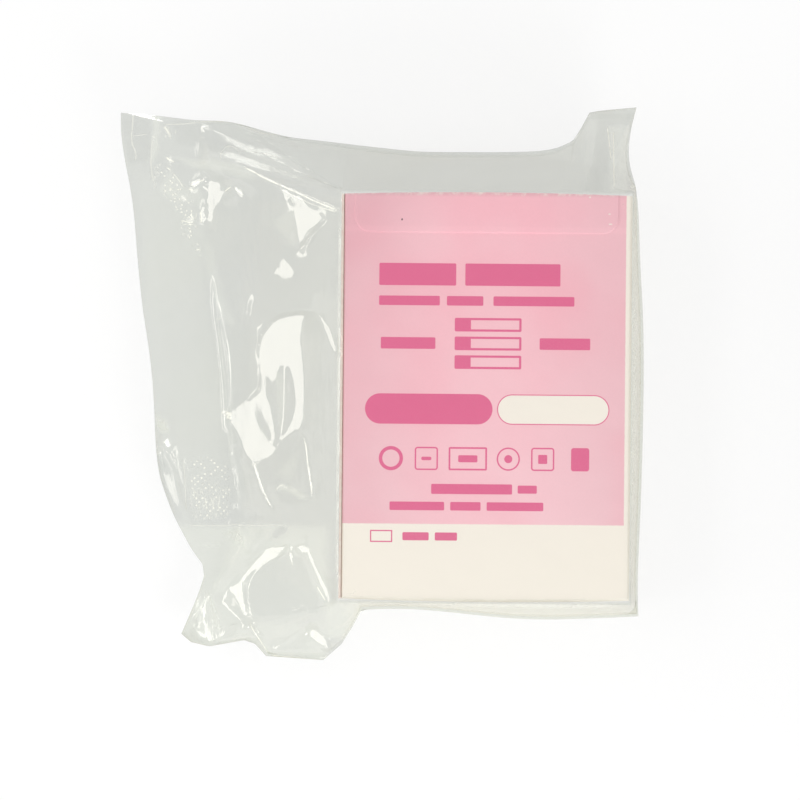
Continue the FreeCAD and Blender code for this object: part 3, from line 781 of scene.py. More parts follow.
# Narrow creases that catch the light: slope across, width in mm, and the points in mm
CREASES = (
    (LEFT_GLINT, 0.6, ((-45.9, -13.4), (-44.9, -16.3), (-43.7, -19.3), (-42.3, -22.0))),
    (LEFT_GLINT, 0.6, (
        (-37.0, -7.1), (-36.0, -8.1), (-35.3, -10.8), (-35.0, -13.7), (-34.1, -19.8))),
    (LEFT_GLINT, 0.9, ((-41.3, -18.7), (-40.7, -17.9), (-39.5, -17.7), (-38.5, -18.2))),
    (0.5, 0.8, ((-50.1, 41.1), (-48.3, 39.6))),
    (LEFT_GLINT, 0.8, ((-38.3, -29.5), (-38.1, -30.7))),
    (LEFT_GLINT, 0.7, ((-38.5, -31.0), (-38.2, -32.3), (-37.8, -33.7))),
)

# Thin white lines where the film is creased, partly its own whitening and partly painted highlights
# of the creases: half width in mm, strength, and the points in mm
MARKS = (
    # ridge from the carton's upper corner
    (0.17, 1.0, (
        (-48.8, 45.4), (-46.4, 44.3), (-44.7, 43.3), (-43.0, 42.5), (-40.7, 41.5), (-38.7, 40.6),
        (-36.4, 39.6), (-34.2, 38.5), (-32.2, 37.7), (-30.5, 37.1), (-28.9, 36.5))),
    (0.1, 0.7, ((-29.4, 36.2), (-32.2, 37.0), (-35.0, 38.0), (-38.4, 39.6), (-41.3, 41.1))),
    # loop and arcs over it
    (0.12, 0.45, (
        (-52.7, 46.4), (-53.0, 47.5), (-52.5, 48.4), (-51.9, 49.2), (-51.2, 49.4), (-50.4, 49.2),
        (-49.1, 48.5))),
    (0.16, 0.3, (
        (-50.6, 48.4), (-49.2, 48.3), (-47.5, 48.3), (-45.0, 48.0), (-43.0, 47.6), (-41.3, 47.2),
        (-39.3, 47.1))),
    # weld along the top end
    (0.1, 0.6, (
        (-65.2, 53.6), (-63.4, 53.6), (-60.6, 53.7), (-58.9, 53.9), (-56.6, 54.2), (-52.1, 54.3),
        (-51.1, 54.4), (-50.4, 54.3), (-49.3, 53.7), (-47.6, 53.1), (-45.9, 52.4), (-44.7, 52.0),
        (-42.8, 51.8), (-40.5, 51.8))),
    # welds of the ear
    (0.11, 0.6, (
        (-70.3, 55.8), (-70.4, 54.4), (-70.5, 52.7), (-70.7, 51.3), (-70.5, 49.6), (-70.0, 48.5),
        (-69.7, 47.4), (-70.0, 46.2))),
    (0.09, 0.5, ((-70.3, 51.3), (-69.0, 51.4), (-67.7, 51.6))),
    (0.16, 0.4, (
        (-66.5, 51.1), (-66.6, 49.4), (-66.8, 46.3), (-66.5, 43.4), (-66.1, 41.5), (-65.9, 40.3))),
    # crumpled film at the upper end of the seal
    (0.1, 1.0, ((-52.0, 40.4), (-51.4, 40.9), (-50.9, 41.3))),
    (0.1, 1.0, ((-50.1, 41.1), (-49.2, 40.4), (-48.3, 39.6))),
    (0.11, 1.0, ((-56.9, 36.5), (-56.7, 35.3), (-56.6, 34.1))),
    (0.22, 1.0, ((-63.7, 47.0), (-62.2, 46.1))),
    (0.14, 1.0, ((-63.7, 45.2), (-62.7, 44.4))),
    (0.09, 0.8, ((-62.4, 44.0), (-61.1, 42.4), (-60.3, 41.1))),
    (0.2, 1.0, ((-59.3, 41.0), (-58.4, 40.5))),
    (0.12, 0.9, ((-63.1, 41.2), (-62.4, 40.5))),
    (0.1, 0.8, ((-62.1, 40.1), (-61.5, 39.4))),
    (0.14, 0.8, ((-60.7, 39.3), (-59.6, 38.6))),
    (0.16, 0.7, ((-59.0, 41.5), (-57.6, 42.1), (-56.1, 42.8))),
    (0.13, 0.9, ((-60.6, 34.6), (-59.1, 34.2), (-57.9, 34.3))),
    (0.1, 0.9, ((-58.6, 36.4), (-58.7, 35.5), (-58.0, 34.8))),
    (0.1, 0.9, ((-59.3, 33.1), (-58.5, 32.9))),
    (0.12, 0.8, ((-60.8, 33.4), (-60.4, 32.8))),
    (0.1, 0.9, ((-60.5, 32.1), (-60.3, 31.7))),
    (0.1, 0.9, ((-59.2, 31.7), (-58.9, 30.8))),
    (0.2, 0.9, ((-57.6, 28.7), (-56.8, 29.1))),
    (0.09, 0.9, ((-57.5, 30.0), (-57.2, 29.6))),
    (0.09, 0.9, ((-57.1, 27.9), (-56.7, 27.5))),
    (0.12, 0.8, ((-61.9, 37.4), (-61.5, 37.0))),
    (0.09, 0.7, ((-63.7, 39.2), (-63.3, 38.9))),
    (0.09, 0.7, ((-65.7, 45.3), (-65.2, 44.9))),
    (0.08, 0.7, ((-65.5, 44.2), (-65.0, 43.7))),
    (0.09, 0.7, ((-66.0, 43.3), (-65.4, 42.9))),
    (0.08, 0.6, ((-66.1, 42.0), (-65.6, 41.5))),
    (0.08, 0.7, ((-66.6, 51.3), (-65.9, 50.8))),
    (0.14, 0.6, ((-38.9, 39.2), (-38.3, 38.0))),
    # tip of the leaf, over the seal
    (0.3, 1.0, ((-52.4, -3.4), (-51.4, -3.6), (-50.4, -3.8))),
    (0.24, 1.0, ((-51.8, -4.2), (-51.0, -4.5), (-50.3, -4.7))),
    # creases below the long facet
    (0.11, 0.9, ((-45.9, -13.4), (-44.9, -16.3), (-43.7, -19.3), (-42.3, -22.1))),
    (0.1, 0.9, ((-36.1, -7.8), (-35.5, -9.8), (-35.0, -13.7), (-34.1, -19.9))),
    (0.1, 0.8, ((-41.3, -18.8), (-40.7, -17.9), (-39.5, -17.7))),
    # creases of the seal
    (0.1, 0.6, ((-53.3, 14.7), (-52.7, 15.4))),
    (0.09, 0.25, ((-52.9, 13.3), (-52.8, 8.3), (-52.9, 3.9), (-53.1, -1.1))),
    (0.09, 0.5, ((-59.9, -12.5), (-59.5, -16.9), (-59.3, -21.4), (-59.1, -23.8))),
    (0.08, 0.35, ((-66.1, 4.3), (-66.0, -0.2), (-65.8, -5.1), (-65.3, -10.1))),
    # fold where the slack foot begins
    (0.12, 0.45, (
        (-59.6, -26.0), (-54.8, -26.0), (-51.4, -26.0), (-49.4, -25.7), (-47.7, -25.9),
        (-42.1, -25.8), (-39.8, -25.7), (-38.8, -26.3), (-38.1, -26.9))),
    (0.14, 0.3, ((-57.0, -30.0), (-51.9, -30.0))),
    # pouch
    (0.13, 0.9, ((-46.4, -45.3), (-45.6, -46.7), (-44.7, -48.1), (-43.7, -49.5), (-42.6, -51.4))),
    (0.13, 0.9, ((-42.4, -51.6), (-40.4, -51.8), (-37.6, -52.0), (-35.4, -52.3), (-32.3, -52.5))),
    (0.12, 1.0, ((-33.1, -37.6), (-32.1, -39.3), (-31.2, -40.7))),
    (0.1, 0.6, ((-38.5, -31.0), (-38.2, -32.3), (-37.8, -33.7))),
    (0.1, 0.4, ((-55.5, -38.6), (-54.9, -40.3), (-54.5, -41.7))),
    # ear at the upper right
    (0.12, 1.0, ((23.7, 54.0), (24.1, 50.5), (24.5, 47.0))),
    (0.13, 1.0, ((25.1, 41.2), (25.0, 47.0), (24.9, 53.0))),
    (0.12, 0.8, ((28.4, 41.6), (29.6, 42.2))),
    # film standing up beside the carton, with painted highlights: left, right and lower edge
    (0.26, 0.4, ((-29.1, -40.0), (-29.1, 0.0), (-29.1, 38.0))),
    (0.6, 0.42, ((29.4, -40.0), (29.4, 0.0), (29.4, 40.0))),
    (0.45, 0.5, ((-28.0, -41.1), (0.0, -41.1), (29.0, -41.1))),
    # folded film of the ear
    (0.26, 0.8, ((-64.3, 53.4), (-63.6, 52.4), (-62.9, 51.2))),
)

# Film painted lighter and milkier (or darker, where negative), partly as its own milkiness and
# partly as painted light and shade: how much, softness of the outline and the outline, both in mm
VEILS_AND_SHADES = (
    # slack foot
    (1.1, 1.6, ((-75, -26), (-31, -26), (-31, -60), (-75, -60))),
    # inside of the pouch
    (-0.5, 0.8, (
        (-47.9, -38.8), (-46.2, -35.0), (-42.0, -32.4), (-39.2, -30.9), (-35.3, -31.4),
        (-33.5, -36.5), (-31.5, -40.4), (-32.0, -44.4), (-34.9, -45.5), (-44.5, -45.0),
        (-47.0, -42.2))),
    # soft fold beside the seal
    (0.6, 0.8, (
        (-56.9, 32.5), (-54.7, 29.4), (-52.9, 22.7), (-51.8, 18.7), (-49.4, 13.4), (-51.2, 13.8),
        (-52.8, 16.7), (-54.2, 19.7), (-55.7, 26.2), (-56.1, 29.6))),
    # film folded over at the upper end of the seal
    (0.9, 0.8, (
        (-62.5, 47.4), (-57.7, 46.3), (-54.3, 46.9), (-52.6, 46.4), (-49.2, 45.7), (-46.4, 43.9),
        (-46.1, 42.8), (-49.2, 43.0), (-52.0, 44.4), (-56.3, 44.9), (-58.8, 45.2), (-61.4, 46.9))),
    # weld of the ear
    (1.1, 0.5, (
        (-66.5, 55.8), (-65.0, 55.8), (-65.2, 53.6), (-65.4, 51.1), (-65.6, 48.8), (-66.1, 46.5),
        (-66.9, 46.3), (-66.6, 49.4), (-66.5, 52.5))),
    # ear
    (-0.6, 0.8, (
        (-73.0, 55.8), (-66.8, 55.9), (-66.8, 52.5), (-66.7, 46.5), (-69.0, 46.2), (-71.2, 45.4))),
    # band along the top end: painted shade
    (-0.4, 1.0, ((-63, 60), (22, 46), (22, 41), (-30, 41), (-45, 46), (-62, 50))),
    # seal
    (0.35, 1.5, ((-69, 44), (-58, 38), (-52, 0), (-52, -24), (-60, -26), (-66, 0))),
    # grey fold over the pouch
    (-1.3, 0.4, (
        (-42.1, -27.5), (-41.2, -26.4), (-39.8, -25.8), (-39.1, -26.3), (-39.2, -27.2),
        (-40.7, -28.1), (-41.8, -28.5))),
    # film below the long facet
    (0.6, 0.8, ((-39.5, -13.3), (-37.1, -11.3), (-38.0, -16.7), (-41.5, -15.8))),
    (1.3, 0.5, (
        (-41.4, -19.0), (-40.5, -18.0), (-38.5, -18.0), (-34.5, -20.2), (-36.5, -20.6),
        (-39.5, -18.7))),
    (0.7, 0.6, (
        (-41.6, 4.5), (-40.2, 4.0), (-39.4, 1.0), (-39.6, -3.9), (-40.6, -6.9), (-41.3, -1.4))),
    # lip of the mouth: a painted highlight
    (1.7, 0.3, (
        (-65.4, -4.2), (-64.5, -4.6), (-63.4, -5.6), (-62.6, -7.0), (-64.8, -7.3), (-65.2, -6.3))),
    # tail of the foot
    (0.8, 0.6, ((-54.8, -38.9), (-53.5, -40.6), (-51.8, -46.2), (-53.2, -46.5), (-54.6, -42.3))),
    (0.8, 0.5, (
        (-51.4, -27.3), (-49.4, -25.9), (-47.7, -28.4), (-47.1, -30.4), (-48.0, -30.1),
        (-49.1, -29.0), (-50.0, -29.5))),
    # facets near the carton's upper corner
    (0.7, 0.4, ((-42.3, 34.6), (-38.1, 37.2), (-37.8, 31.0), (-38.3, 29.8), (-40.6, 32.1))),
    # doubled film over the ridge
    (0.6, 0.5, (
        (-50.9, 49.4), (-45.9, 48.6), (-38.2, 47.2), (-36.9, 46.0), (-36.5, 42.3), (-40.4, 44.0),
        (-44.7, 45.0), (-48.1, 47.8))),
    (0.8, 0.6, (
        (-63.4, 44.4), (-59.4, 41.2), (-56.6, 40.6), (-56.4, 37.0), (-58.2, 38.6), (-61.4, 38.4),
        (-64.8, 40.8))),
    # right-hand ear and side
    (1.1, 0.5, ((24, 54), (28, 54), (27.6, 40.8), (24.4, 40.8))),
    (1.2, 0.6, ((29.0, 40), (34, 40), (34, -40), (29.0, -40))),
    (-0.4, 0.8, ((21.5, 57), (33, 57), (33, 41), (21.5, 41))),
    # lower end
    (1.3, 0.8, ((-31, -40.8), (33, -40.8), (33, -48), (-31, -48))),
)

# Where the tools of the mouth's seal have pressed dots and hairlines, and where it is crushed
EMBOSSED = (
    (-59.5, -12.4), (-55.3, -11.5), (-51.2, -12.9), (-49.7, -18.8), (-50.5, -24.6),
    (-58.2, -25.6), (-59.0, -20.9))
CRUSHED = (
    (-66.1, 45.7), (-64.9, 46.3), (-62.2, 44.3), (-59.2, 40.4), (-57.6, 35.9), (-56.4, 28.6),
    (-57.5, 27.4), (-59.8, 31.4), (-62.1, 36.4), (-65.2, 40.3))

# Where the upper sheet (1) or the lower one (-1) is only gently bent, over the upper left corner,
# over the foot and under the pouch, and how many times it is smoothed there
EASED = (
    (1, 40, (
        (-54.5, 53.6), (-47.0, 52.0), (-38.5, 50.2), (-30.0, 43.5), (-29.6, 36.2), (-40.0, 38.5),
        (-54.0, 42.5))),
    (1, 40, (
        (-50.0, -36.5), (-30.0, -39.0), (-30.0, -46.0), (-32.5, -50.5), (-41.5, -50.5),
        (-46.0, -46.5), (-55.0, -47.5), (-57.5, -45.0), (-55.0, -39.5))),
    (-1, 200, ((-52.0, -22.0), (-34.0, -22.0), (-34.0, -36.0), (-52.0, -36.0))),
)


class Sheet:
    """A grid over the bag's loose side, in mm, where the upper sheet relaxes round its facets."""

    def __init__(self, bm):
        low_x, low_y = (BAG_LOW / MM).xy
        high_x, high_y = CARTON_LOW.x / MM + 5, BAG_HIGH.y / MM
        self.low = np.array((low_x, low_y))
        across = np.arange(low_x, high_x + SHEET_STEP, SHEET_STEP)
        along = np.arange(low_y, high_y + SHEET_STEP, SHEET_STEP)
        self.x, self.y = np.meshgrid(across, along)
        tree = BVHTree.FromBMesh(bm)
        self.height = self.seen_from(tree, 1)
        gap = self.height - self.seen_from(tree, -1)
        self.sealed = np.nan_to_num(np.clip((LOOSE_GAP - gap) / (LOOSE_GAP - WELDED_GAP), 0, 1))
        self.beside_seal = np.nan_to_num(np.clip((FREE_GAP - gap) / (FREE_GAP - NEAR_GAP), 0, 1))
        on_carton = ((abs(self.x) < CARTON_HIGH.x / MM + 0.2)
                     & (abs(self.y) < CARTON_HIGH.y / MM + 0.2))
        self.free = ~np.isnan(self.height) & ~on_carton
        self.height = np.nan_to_num(self.height)
        self.move = self.relaxed()

    def seen_from(self, tree, way):
        """Height of the skin seen from above (1) or below (-1), or nan beyond its rim."""
        found = np.full(self.x.shape, np.nan)
        for place in np.ndindex(self.x.shape):
            start = Vector((self.x[place] * MM, self.y[place] * MM, way * 0.1))
            hit = tree.ray_cast(start, Vector((0, 0, -way)))[0]
            if hit is not None:
                found[place] = hit.z / MM
        return found

    def near_line(self, width, points):
        """1 along a line of points, and 0 beyond its width, which tapers to both ends."""
        apart, along = beside_line(self.x, self.y, points)
        wide = width / 2 * np.clip(8 * along * (1 - along), 0.3, 1)
        return np.clip((wide - np.abs(apart)) / 0.3 + 0.5, 0, 1)

    def patches(self):
        """Each facet and crease: slope across and along, stiffness, and its share of each place.
        Where two of them meet, the later one wins."""
        found = []
        for across, along, soft, stiff, points in FACETS:
            inside = np.clip(depth_inside(self.x, self.y, points) / soft, 0, 1)
            if across > STEEP and stiff < LIT_HOLD:
                inside *= 1 - self.sealed
            found.append((across, along, stiff, inside))
        return found + [(across, 0.0, CREASE_HOLD, self.near_line(width, points))
                        for across, width, points in CREASES]

    def relaxed(self):
        """How far each place moves, so that the facets get their slopes, by conjugate gradients."""
        slope_y, slope_x = np.gradient(self.height, SHEET_STEP)
        own = 1 + (SEAL_HOLD - 1) * self.sealed
        hold = own + BESIDE_HOLD * self.beside_seal
        pull_x, pull_y = np.zeros(self.x.shape), np.zeros(self.x.shape)
        for across, along, stiff, inside in self.patches():
            hold += (own * stiff - hold) * inside
            pull_x += (own * stiff * (across - slope_x) - pull_x) * inside
            pull_y += (own * stiff * (along - slope_y) - pull_y) * inside
        hold_x, hold_y = (hold[:, 1:] + hold[:, :-1]) / 2, (hold[1:] + hold[:-1]) / 2
        pull_x = (pull_x[:, 1:] + pull_x[:, :-1]) / 2 * SHEET_STEP
        pull_y = (pull_y[1:] + pull_y[:-1]) / 2 * SHEET_STEP

        def gathered(across, along, back):
            """The sum over each place's links; those that start at it count by the factor back."""
            result = np.zeros(self.x.shape)
            result[:, 1:] += across
            result[:, :-1] += back * across
            result[1:] += along
            result[:-1] += back * along
            return result * self.free

        def pushed_by(move):
            """How hard the links push back when the sheet has moved."""
            return gathered(hold_x * (move[:, 1:] - move[:, :-1]),
                            hold_y * (move[1:] - move[:-1]), -1)

        ease = self.free / np.maximum(gathered(hold_x, hold_y, 1), 1.0)
        move = np.zeros(self.x.shape)
        rest = gathered(pull_x, pull_y, -1)
        way = rest * ease
        first = size = (rest * way).sum()
        for _ in range(RELAX_STEPS):
            pushed = pushed_by(way)
            step = size / (way * pushed).sum()
            move += step * way
            rest -= step * pushed
            eased = rest * ease
            old, size = size, (rest * eased).sum()
            if size < first * 1e-10:
                break
            way = eased + way * size / old
        return move

    def at(self, x, y):
        """The move at places between the grid's own, in mm."""
        across = np.clip((x - self.low[0]) / SHEET_STEP, 0, self.x.shape[1] - 1.001)
        along = np.clip((y - self.low[1]) / SHEET_STEP, 0, self.x.shape[0] - 1.001)
        column, row = across.astype(int), along.astype(int)
        u, v = across - column, along - row
        near = self.move[row, column] * (1 - u) + self.move[row, column + 1] * u
        far = self.move[row + 1, column] * (1 - u) + self.move[row + 1, column + 1] * u
        return (near * (1 - v) + far * v) * (x < self.x[0, -1])


def film_marks_and_shading(x, y):
    """What the film's material is told at arrays of places in plan, by the attribute's name."""
    veil = np.zeros(x.shape)
    for amount, soft, points in VEILS_AND_SHADES:
        veil += amount * np.clip(depth_inside(x, y, points) / soft + 0.5, 0, 1)
    nearest, side, share = np.full(x.shape, 1e9), np.ones(x.shape), np.zeros(x.shape)
    for half_width, strength, points in MARKS:
        apart, along = beside_line(x, y, points)
        ends = np.clip(12 * np.minimum(along, 1 - along), 0, 1)
        closer = np.abs(apart) < nearest
        nearest = np.where(closer, np.abs(apart), nearest)
        side = np.where(closer, apart / half_width, side)
        reach = FINE_REACH if half_width < WIDE_MARK else WIDE_REACH
        within = np.clip((reach - np.abs(apart)) / 0.3, 0, 1)
        share = np.where(closer, strength * ends * within, share)
    return {"veil": veil, "mark_side": np.clip(side, -FARTHEST, FARTHEST), "mark_share": share,
            "embossed": np.clip(depth_inside(x, y, EMBOSSED) / 1.2, 0, 1),
            "crushed": np.clip(depth_inside(x, y, CRUSHED) / 0.8, 0, 1)}


def ease_folds(bm):
    """Softens the folds where the film is only gently bent."""
    for way, times, points in EASED:
        verts = [vert for vert in bm.verts if vert.normal.z * way > 0.1]
        places = np.array([vert.co for vert in verts]) / MM
        depth = depth_inside(places[:, 0], places[:, 1], points)
        inside = [vert for vert, deep in zip(verts, depth) if deep > 0]
        for _ in range(times):
            bmesh.ops.smooth_vert(bm, verts=inside, factor=0.5, use_axis_z=True)
    bm.normal_update()


def shape_folds(bm):
    """Sculpts the loose film, and marks where it is loose, where it is painted lighter or darker as
    milkiness and as painted light and shade, and where it is creased white with painted highlights.
    """
    ease_folds(bm)
    sheet = Sheet(bm)
    outlines = [(stiff, points + points[:1]) for *_, stiff, points in FACETS]
    lines = [points for *_, points in CREASES] + [
        points for half_width, _, points in MARKS if half_width < WIDE_MARK]
    refine_near(bm, [points for _, points in outlines] + lines, FINE_REACH)
    refine_near(bm, [points for stiff, points in outlines if stiff >= LIT_HOLD], FINEST_REACH)
    bm.verts.index_update()
    gaps = wall_gap(bm)
    places = np.array([vert.co for vert in bm.verts]) / MM
    relaxed = sheet.at(places[:, 0], places[:, 1])
    told = film_marks_and_shading(places[:, 0], places[:, 1])
    layers = {name: bm.verts.layers.float.new(name) for name in ("loose", *told)}
    for vert in bm.verts:
        beyond = max(abs(vert.co.x) - CARTON_HIGH.x, abs(vert.co.y) - CARTON_HIGH.y) / MM
        joined = smooth(gaps[vert.index] / MM, PARTED_GAP, JOINED_GAP)
        upper = smooth(vert.normal.z, -0.05, 0.15)
        vert[layers["loose"]] = smooth(beyond, -0.6, 0.5)
        for name, values in told.items():
            both = name in ("veil", "mark_side")     # told for both sheets, the rest for the upper
            vert[layers[name]] = values[vert.index] * (1.0 if both else upper)
        if beyond > 0.1:
            move = relaxed[vert.index] * max(upper, joined) * MM
            if upper > joined:           # the upper sheet stays clear of the lower one
                move = max(move, CLEARANCE * MM - gaps[vert.index])
            vert.co.z = max(vert.co.z + move, BAG_LOW.z)
    for edge in bm.edges:
        edge.smooth = edge.calc_face_angle(0.0) < SHARP_ANGLE


def pressed_marks(tree, place):
    """Masks of what is too fine to model, bumped and painted white as glints: (dots of the seal,
    its hairlines, crumbs of light).
    """
    embossed, crushed = tree.told("embossed"), tree.told("crushed")
    turned = tree.node("ShaderNodeVectorRotate", {"Vector": place, "Angle": 0.72},
                       rotation_type="Z_AXIS").outputs[0]
    grid = tree.node("ShaderNodeTexVoronoi", {
        "Vector": turned, "Scale": 1.05, "Randomness": 0.2},
        voronoi_dimensions="2D").outputs["Distance"]
    worn = tree.ramp(tree.noise(place, 0.5, 2.0), 0.42, 0.56)
    dots = tree.times(tree.ramp(grid, 0.27, 0.17), worn, embossed)
    streaks = tree.noise(tree.vector("MULTIPLY", place, (3.6, 0.3, 0.0)), 1.0, 2.0, 0.6)
    low = tree.ramp(tree.apart(place)[1], -17.0, -20.0)
    hairs = tree.times(tree.ramp(streaks, 0.52, 0.66), low, embossed)
    crumb = tree.node("ShaderNodeTexVoronoi", {"Vector": place, "Scale": 0.85},
                      voronoi_dimensions="2D").outputs["Distance"]
    crumbs = tree.times(tree.ramp(crumb, 0.2, 0.11), crushed)
    return dots, hairs, crumbs


DARKER, LIGHTER = 0.93, 1.07             # the film's tint where it is painted darkest and lightest, partly for milkiness and partly as painted shade and light
CLOUD_LOW, CLOUD_HIGH = 0.06, 0.12       # share of milk in loose film, from place to place
GLOSS_HEAD_ON, GLOSS_GRAZING = 0.075, 0.45     # share mirrored, and its gain towards the rim
GLOSS_COLOUR, GLOSS_ROUGHNESS = (0.98, 0.94, 0.88, 1), 0.09
RIPPLE = 0.07                            # height of the finest ripples, in mm
PRESSED = (0.015, 0.01, 0.03)            # height of dots, hairlines and crumbs, in mm
PALENESS = (0.9, 0.6, 0.9)               # how white they are painted, as painted glints


def film_material(settings):
    """Thin clear film: see-through, a little milky, and glossy at its folds."""
    made, tree, output, place = material("clear_film")
    loose, veil = tree.told("loose"), tree.told("veil")
    film = tuple(settings.film_colour)
    darker = tuple(c * DARKER for c in film[:3]) + (1.0,)
    lighter = tuple(c * LIGHTER for c in film[:3]) + (1.0,)
    # the attribute paints the film lighter and milkier, or darker, by place: partly its milkiness,
    # partly painted light and shade
    share = tree.math("MULTIPLY_ADD", veil, 0.35, 0.5, clamp=True)
    tint = tree.mix(loose, tuple(settings.taut_colour), tree.mix(share, darker, lighter))

    pressed = pressed_marks(tree, place)
    ripple = tree.noise(tree.vector("MULTIPLY", place, (1.0, 0.35, 1.0)), 0.5, 3.0, 0.55)
    height = tree.times(ripple, RIPPLE, loose)
    for mask, rise in zip(pressed, PRESSED):
        height = tree.math("MULTIPLY_ADD", mask, rise, height)
    bump = tree.node("ShaderNodeBump", {"Distance": MM, "Height": height}).outputs[0]

    beside = tree.math("ABSOLUTE", tree.told("mark_side"))
    line = tree.times(tree.ramp(beside, 1.5, 0.5), tree.told("mark_share"))
    fading = tree.ramp(tree.noise(place, 0.6, 3.0), 0.25, 0.5, 0.55, 1.0)
    # white creases and pressed marks: partly the film's own whitening, partly painted highlights
    # and glints
    white = tree.most([tree.times(line, fading)] + [
        tree.times(mask, pale) for mask, pale in zip(pressed, PALENESS)])
    milky = tree.times(tree.math("MAXIMUM", veil, 0.0), 0.12)
    cloudy = tree.ramp(tree.noise(place, 0.05, 2.0), 0.3, 0.7, CLOUD_LOW, CLOUD_HIGH)
    haze = tree.math("MAXIMUM", tree.times(loose, tree.math("ADD", cloudy, milky)),
                     tree.times(white, 0.95))
    clear = tree.node("ShaderNodeBsdfTransparent", {"Color": tint}).outputs[0]
    milk = tree.node("ShaderNodeBsdfPrincipled", {
        "Base Color": tree.mix(white, tuple(settings.haze_colour), linear(252, 252, 240)),
        "Roughness": 0.5, "Normal": bump}).outputs[0]
    body = tree.shaders(haze, clear, milk)
    gloss = tree.node("ShaderNodeBsdfGlossy", {
        "Color": GLOSS_COLOUR, "Roughness": GLOSS_ROUGHNESS, "Normal": bump}).outputs[0]
    turned = tree.node("ShaderNodeLayerWeight", {"Blend": 0.5, "Normal": bump}).outputs["Facing"]
    mirrored = tree.math("MULTIPLY_ADD", tree.math("POWER", turned, 5.0),
                         GLOSS_GRAZING, GLOSS_HEAD_ON)
    tree.put(output.inputs[0], tree.shaders(mirrored, body, gloss))
    return made


# ---------------------------------------------------------------------------------------
# Operators
# ---------------------------------------------------------------------------------------

class FinishCarton(bpy.types.Operator):
    """Give the carton its printed boxboard"""
    bl_idname = "slidepack.finish_carton"
    bl_label = "Finish Carton"

    def execute(self, context):
        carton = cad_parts["carton"]
        carton.data.materials.clear()
        carton.data.materials.append(carton_material(context.scene.slidepack_carton))
        return {"FINISHED"}


class AddFilmBag(bpy.types.Operator):
    """Build the clear film bag round the carton"""
    bl_idname = "slidepack.add_film_bag"
    bl_label = "Add Film Bag"

    def execute(self, context):
        settings = context.scene.slidepack_film
        bm = outer_skin()
        grid_panels(bm, PANEL_CELL)
        crease_sharp_edges(bm)
        mesh = subdivided(finished_mesh(bm, "film_rough"), settings.detail)
        bm = bmesh.new()
        bm.from_mesh(mesh)
        shape_folds(bm)
        bm.to_mesh(mesh)
        bm.free()
        mesh.name = "film_bag_shape"
        mesh.shade_smooth()
        mesh.materials.clear()
        mesh.materials.append(film_material(settings))
        bag = placed("clear_film_bag", mesh)
        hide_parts("film_bag")
        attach(bag, "root")
        return {"FINISHED"}


WARM = (1, 0.995, 0.97)
# Rectangular soft lamps: name, which their power's setting has too, place, width and height, all
# in metres, and colour
LAMPS = (
    ("left_lamp", (-0.609, 0.0, 0.338), 0.85, 0.143, WARM),
    ("high_lamp", (-0.36, 0.0, 0.62), 0.7, 0.14, WARM),
    ("right_lamp", (0.3, -0.55, 0.42), 0.4, 0.25, (1, 1, 1)),
)
VIEW_CENTRE = (-16.9 * MM, -0.7 * MM)    # the camera stands straight over this place


def soft_lamp(name, place, target, width, height, power, colour):
    """A rectangular soft lamp aimed at a point."""
    light = bpy.data.lights.new(name, "AREA")
    light.shape = "RECTANGLE"
    light.size, light.size_y = width, height
    light.energy = power
    light.color = colour
    lamp = placed(name, light)
    lamp.location = place
    lamp.rotation_euler = (Vector(target) - Vector(place)).to_track_quat("-Z", "Y").to_euler()


def floor_mesh(settings):
    """A wide floor just under the pack, partly white of its own so that its shadows stay faint."""
    bm = bmesh.new()
    bmesh.ops.create_grid(bm, x_segments=1, y_segments=1, size=3.0)
    bmesh.ops.translate(bm, verts=bm.verts, vec=(0, 0, -0.05 * MM))
    made, tree, output, _ = material("pale_floor")
    shader = tree.node("ShaderNodeBsdfPrincipled", {
        "Base Color": tuple(settings.floor_colour), "Roughness": 0.9, "Specular IOR Level": 0.0})
    seen = tree.node("ShaderNodeLightPath").outputs["Is Camera Ray"]
    white = tree.node("ShaderNodeEmission").outputs[0]
    share = tree.times(seen, 1 - settings.shadow_share)
    tree.put(output.inputs[0], tree.shaders(share, shader.outputs[0], white))
    mesh = finished_mesh(bm, "floor")
    mesh.materials.append(made)
    return mesh


def camera_over_pack(settings):
    """A camera that looks straight down, so far away that the pack's sides hardly show."""
    lens = bpy.data.cameras.new("camera")
    lens.lens = lens.sensor_width * settings.camera_height / settings.view_width
    lens.clip_end = 10
    camera = placed("camera", lens)
    camera.location = (*VIEW_CENTRE, FACE + settings.camera_height)
    camera.rotation_euler = (0, 0, settings.camera_roll)
    return camera


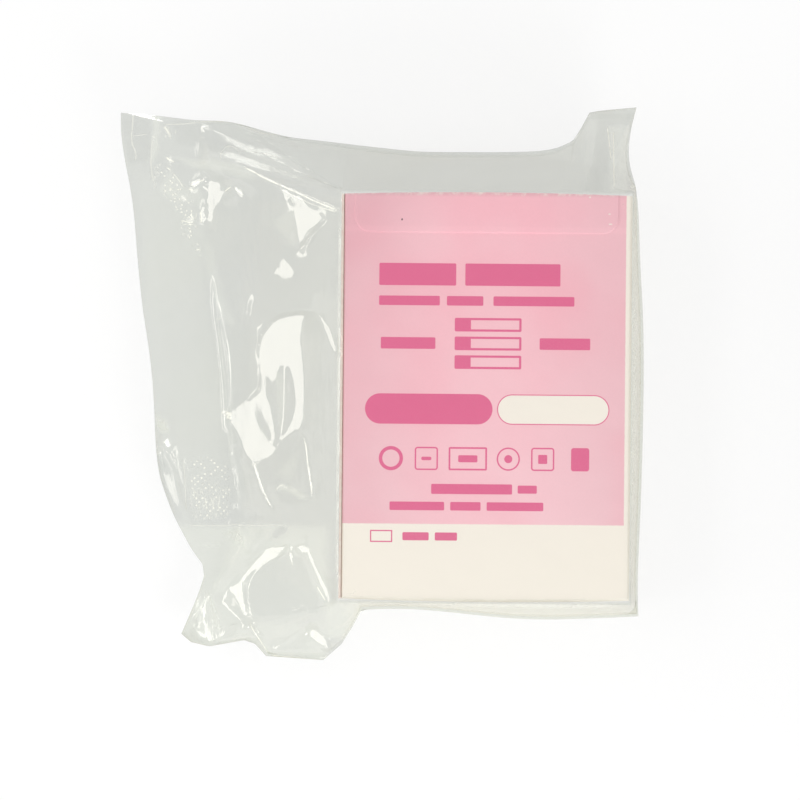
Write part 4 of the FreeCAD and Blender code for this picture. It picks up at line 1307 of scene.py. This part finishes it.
class AddStage(bpy.types.Operator):
    """Add the floor, the lamps and the camera"""
    bl_idname = "slidepack.add_stage"
    bl_label = "Add Stage"

    def execute(self, context):
        settings = context.scene.slidepack_stage
        scene = context.scene
        floor = placed("floor", floor_mesh(settings))

        world = bpy.data.worlds.new("studio")
        world.use_nodes = True
        sky = world.node_tree.nodes["Background"]
        sky.inputs["Color"].default_value = (1, 1, 1, 1)
        sky.inputs["Strength"].default_value = settings.sky_strength
        scene.world = world

        middle = (CARTON_LOW.x, 0, FACE / 2)
        for name, place, width, height, colour in LAMPS:
            soft_lamp(name, place, middle, width, height, getattr(settings, name), colour)
        scene.camera = camera_over_pack(settings)
        scene.view_settings.view_transform = "Standard"
        return {"FINISHED"}


class SlidePackPanel(bpy.types.Panel):
    """The slide pack's pieces and settings"""
    bl_idname = "VIEW3D_PT_slidepack"
    bl_label = "Slide Pack"
    bl_space_type = "VIEW_3D"
    bl_region_type = "UI"
    bl_category = "Slide Pack"

    def draw(self, context):
        layout = self.layout
        for operator, name in ((FinishCarton, "slidepack_carton"), (AddFilmBag, "slidepack_film"),
                               (AddStage, "slidepack_stage")):
            box = layout.box()
            settings = getattr(context.scene, name)
            for prop in settings.bl_rna.properties:
                if not prop.is_readonly and prop.identifier != "name":
                    box.prop(settings, prop.identifier)
            box.operator(operator.bl_idname)


CLASSES = (CartonSettings, FilmSettings, StageSettings, FinishCarton, AddFilmBag, AddStage,
           SlidePackPanel)


def register():
    for item in CLASSES:
        bpy.utils.register_class(item)
    bpy.types.Scene.slidepack_carton = PointerProperty(type=CartonSettings)
    bpy.types.Scene.slidepack_film = PointerProperty(type=FilmSettings)
    bpy.types.Scene.slidepack_stage = PointerProperty(type=StageSettings)


def unregister():
    del bpy.types.Scene.slidepack_carton
    del bpy.types.Scene.slidepack_film
    del bpy.types.Scene.slidepack_stage
    for item in reversed(CLASSES):
        bpy.utils.unregister_class(item)


def main():
    register()
    bpy.ops.slidepack.finish_carton()
    bpy.ops.slidepack.add_film_bag()
    bpy.ops.slidepack.add_stage()


if __name__ == "__main__":
    main()
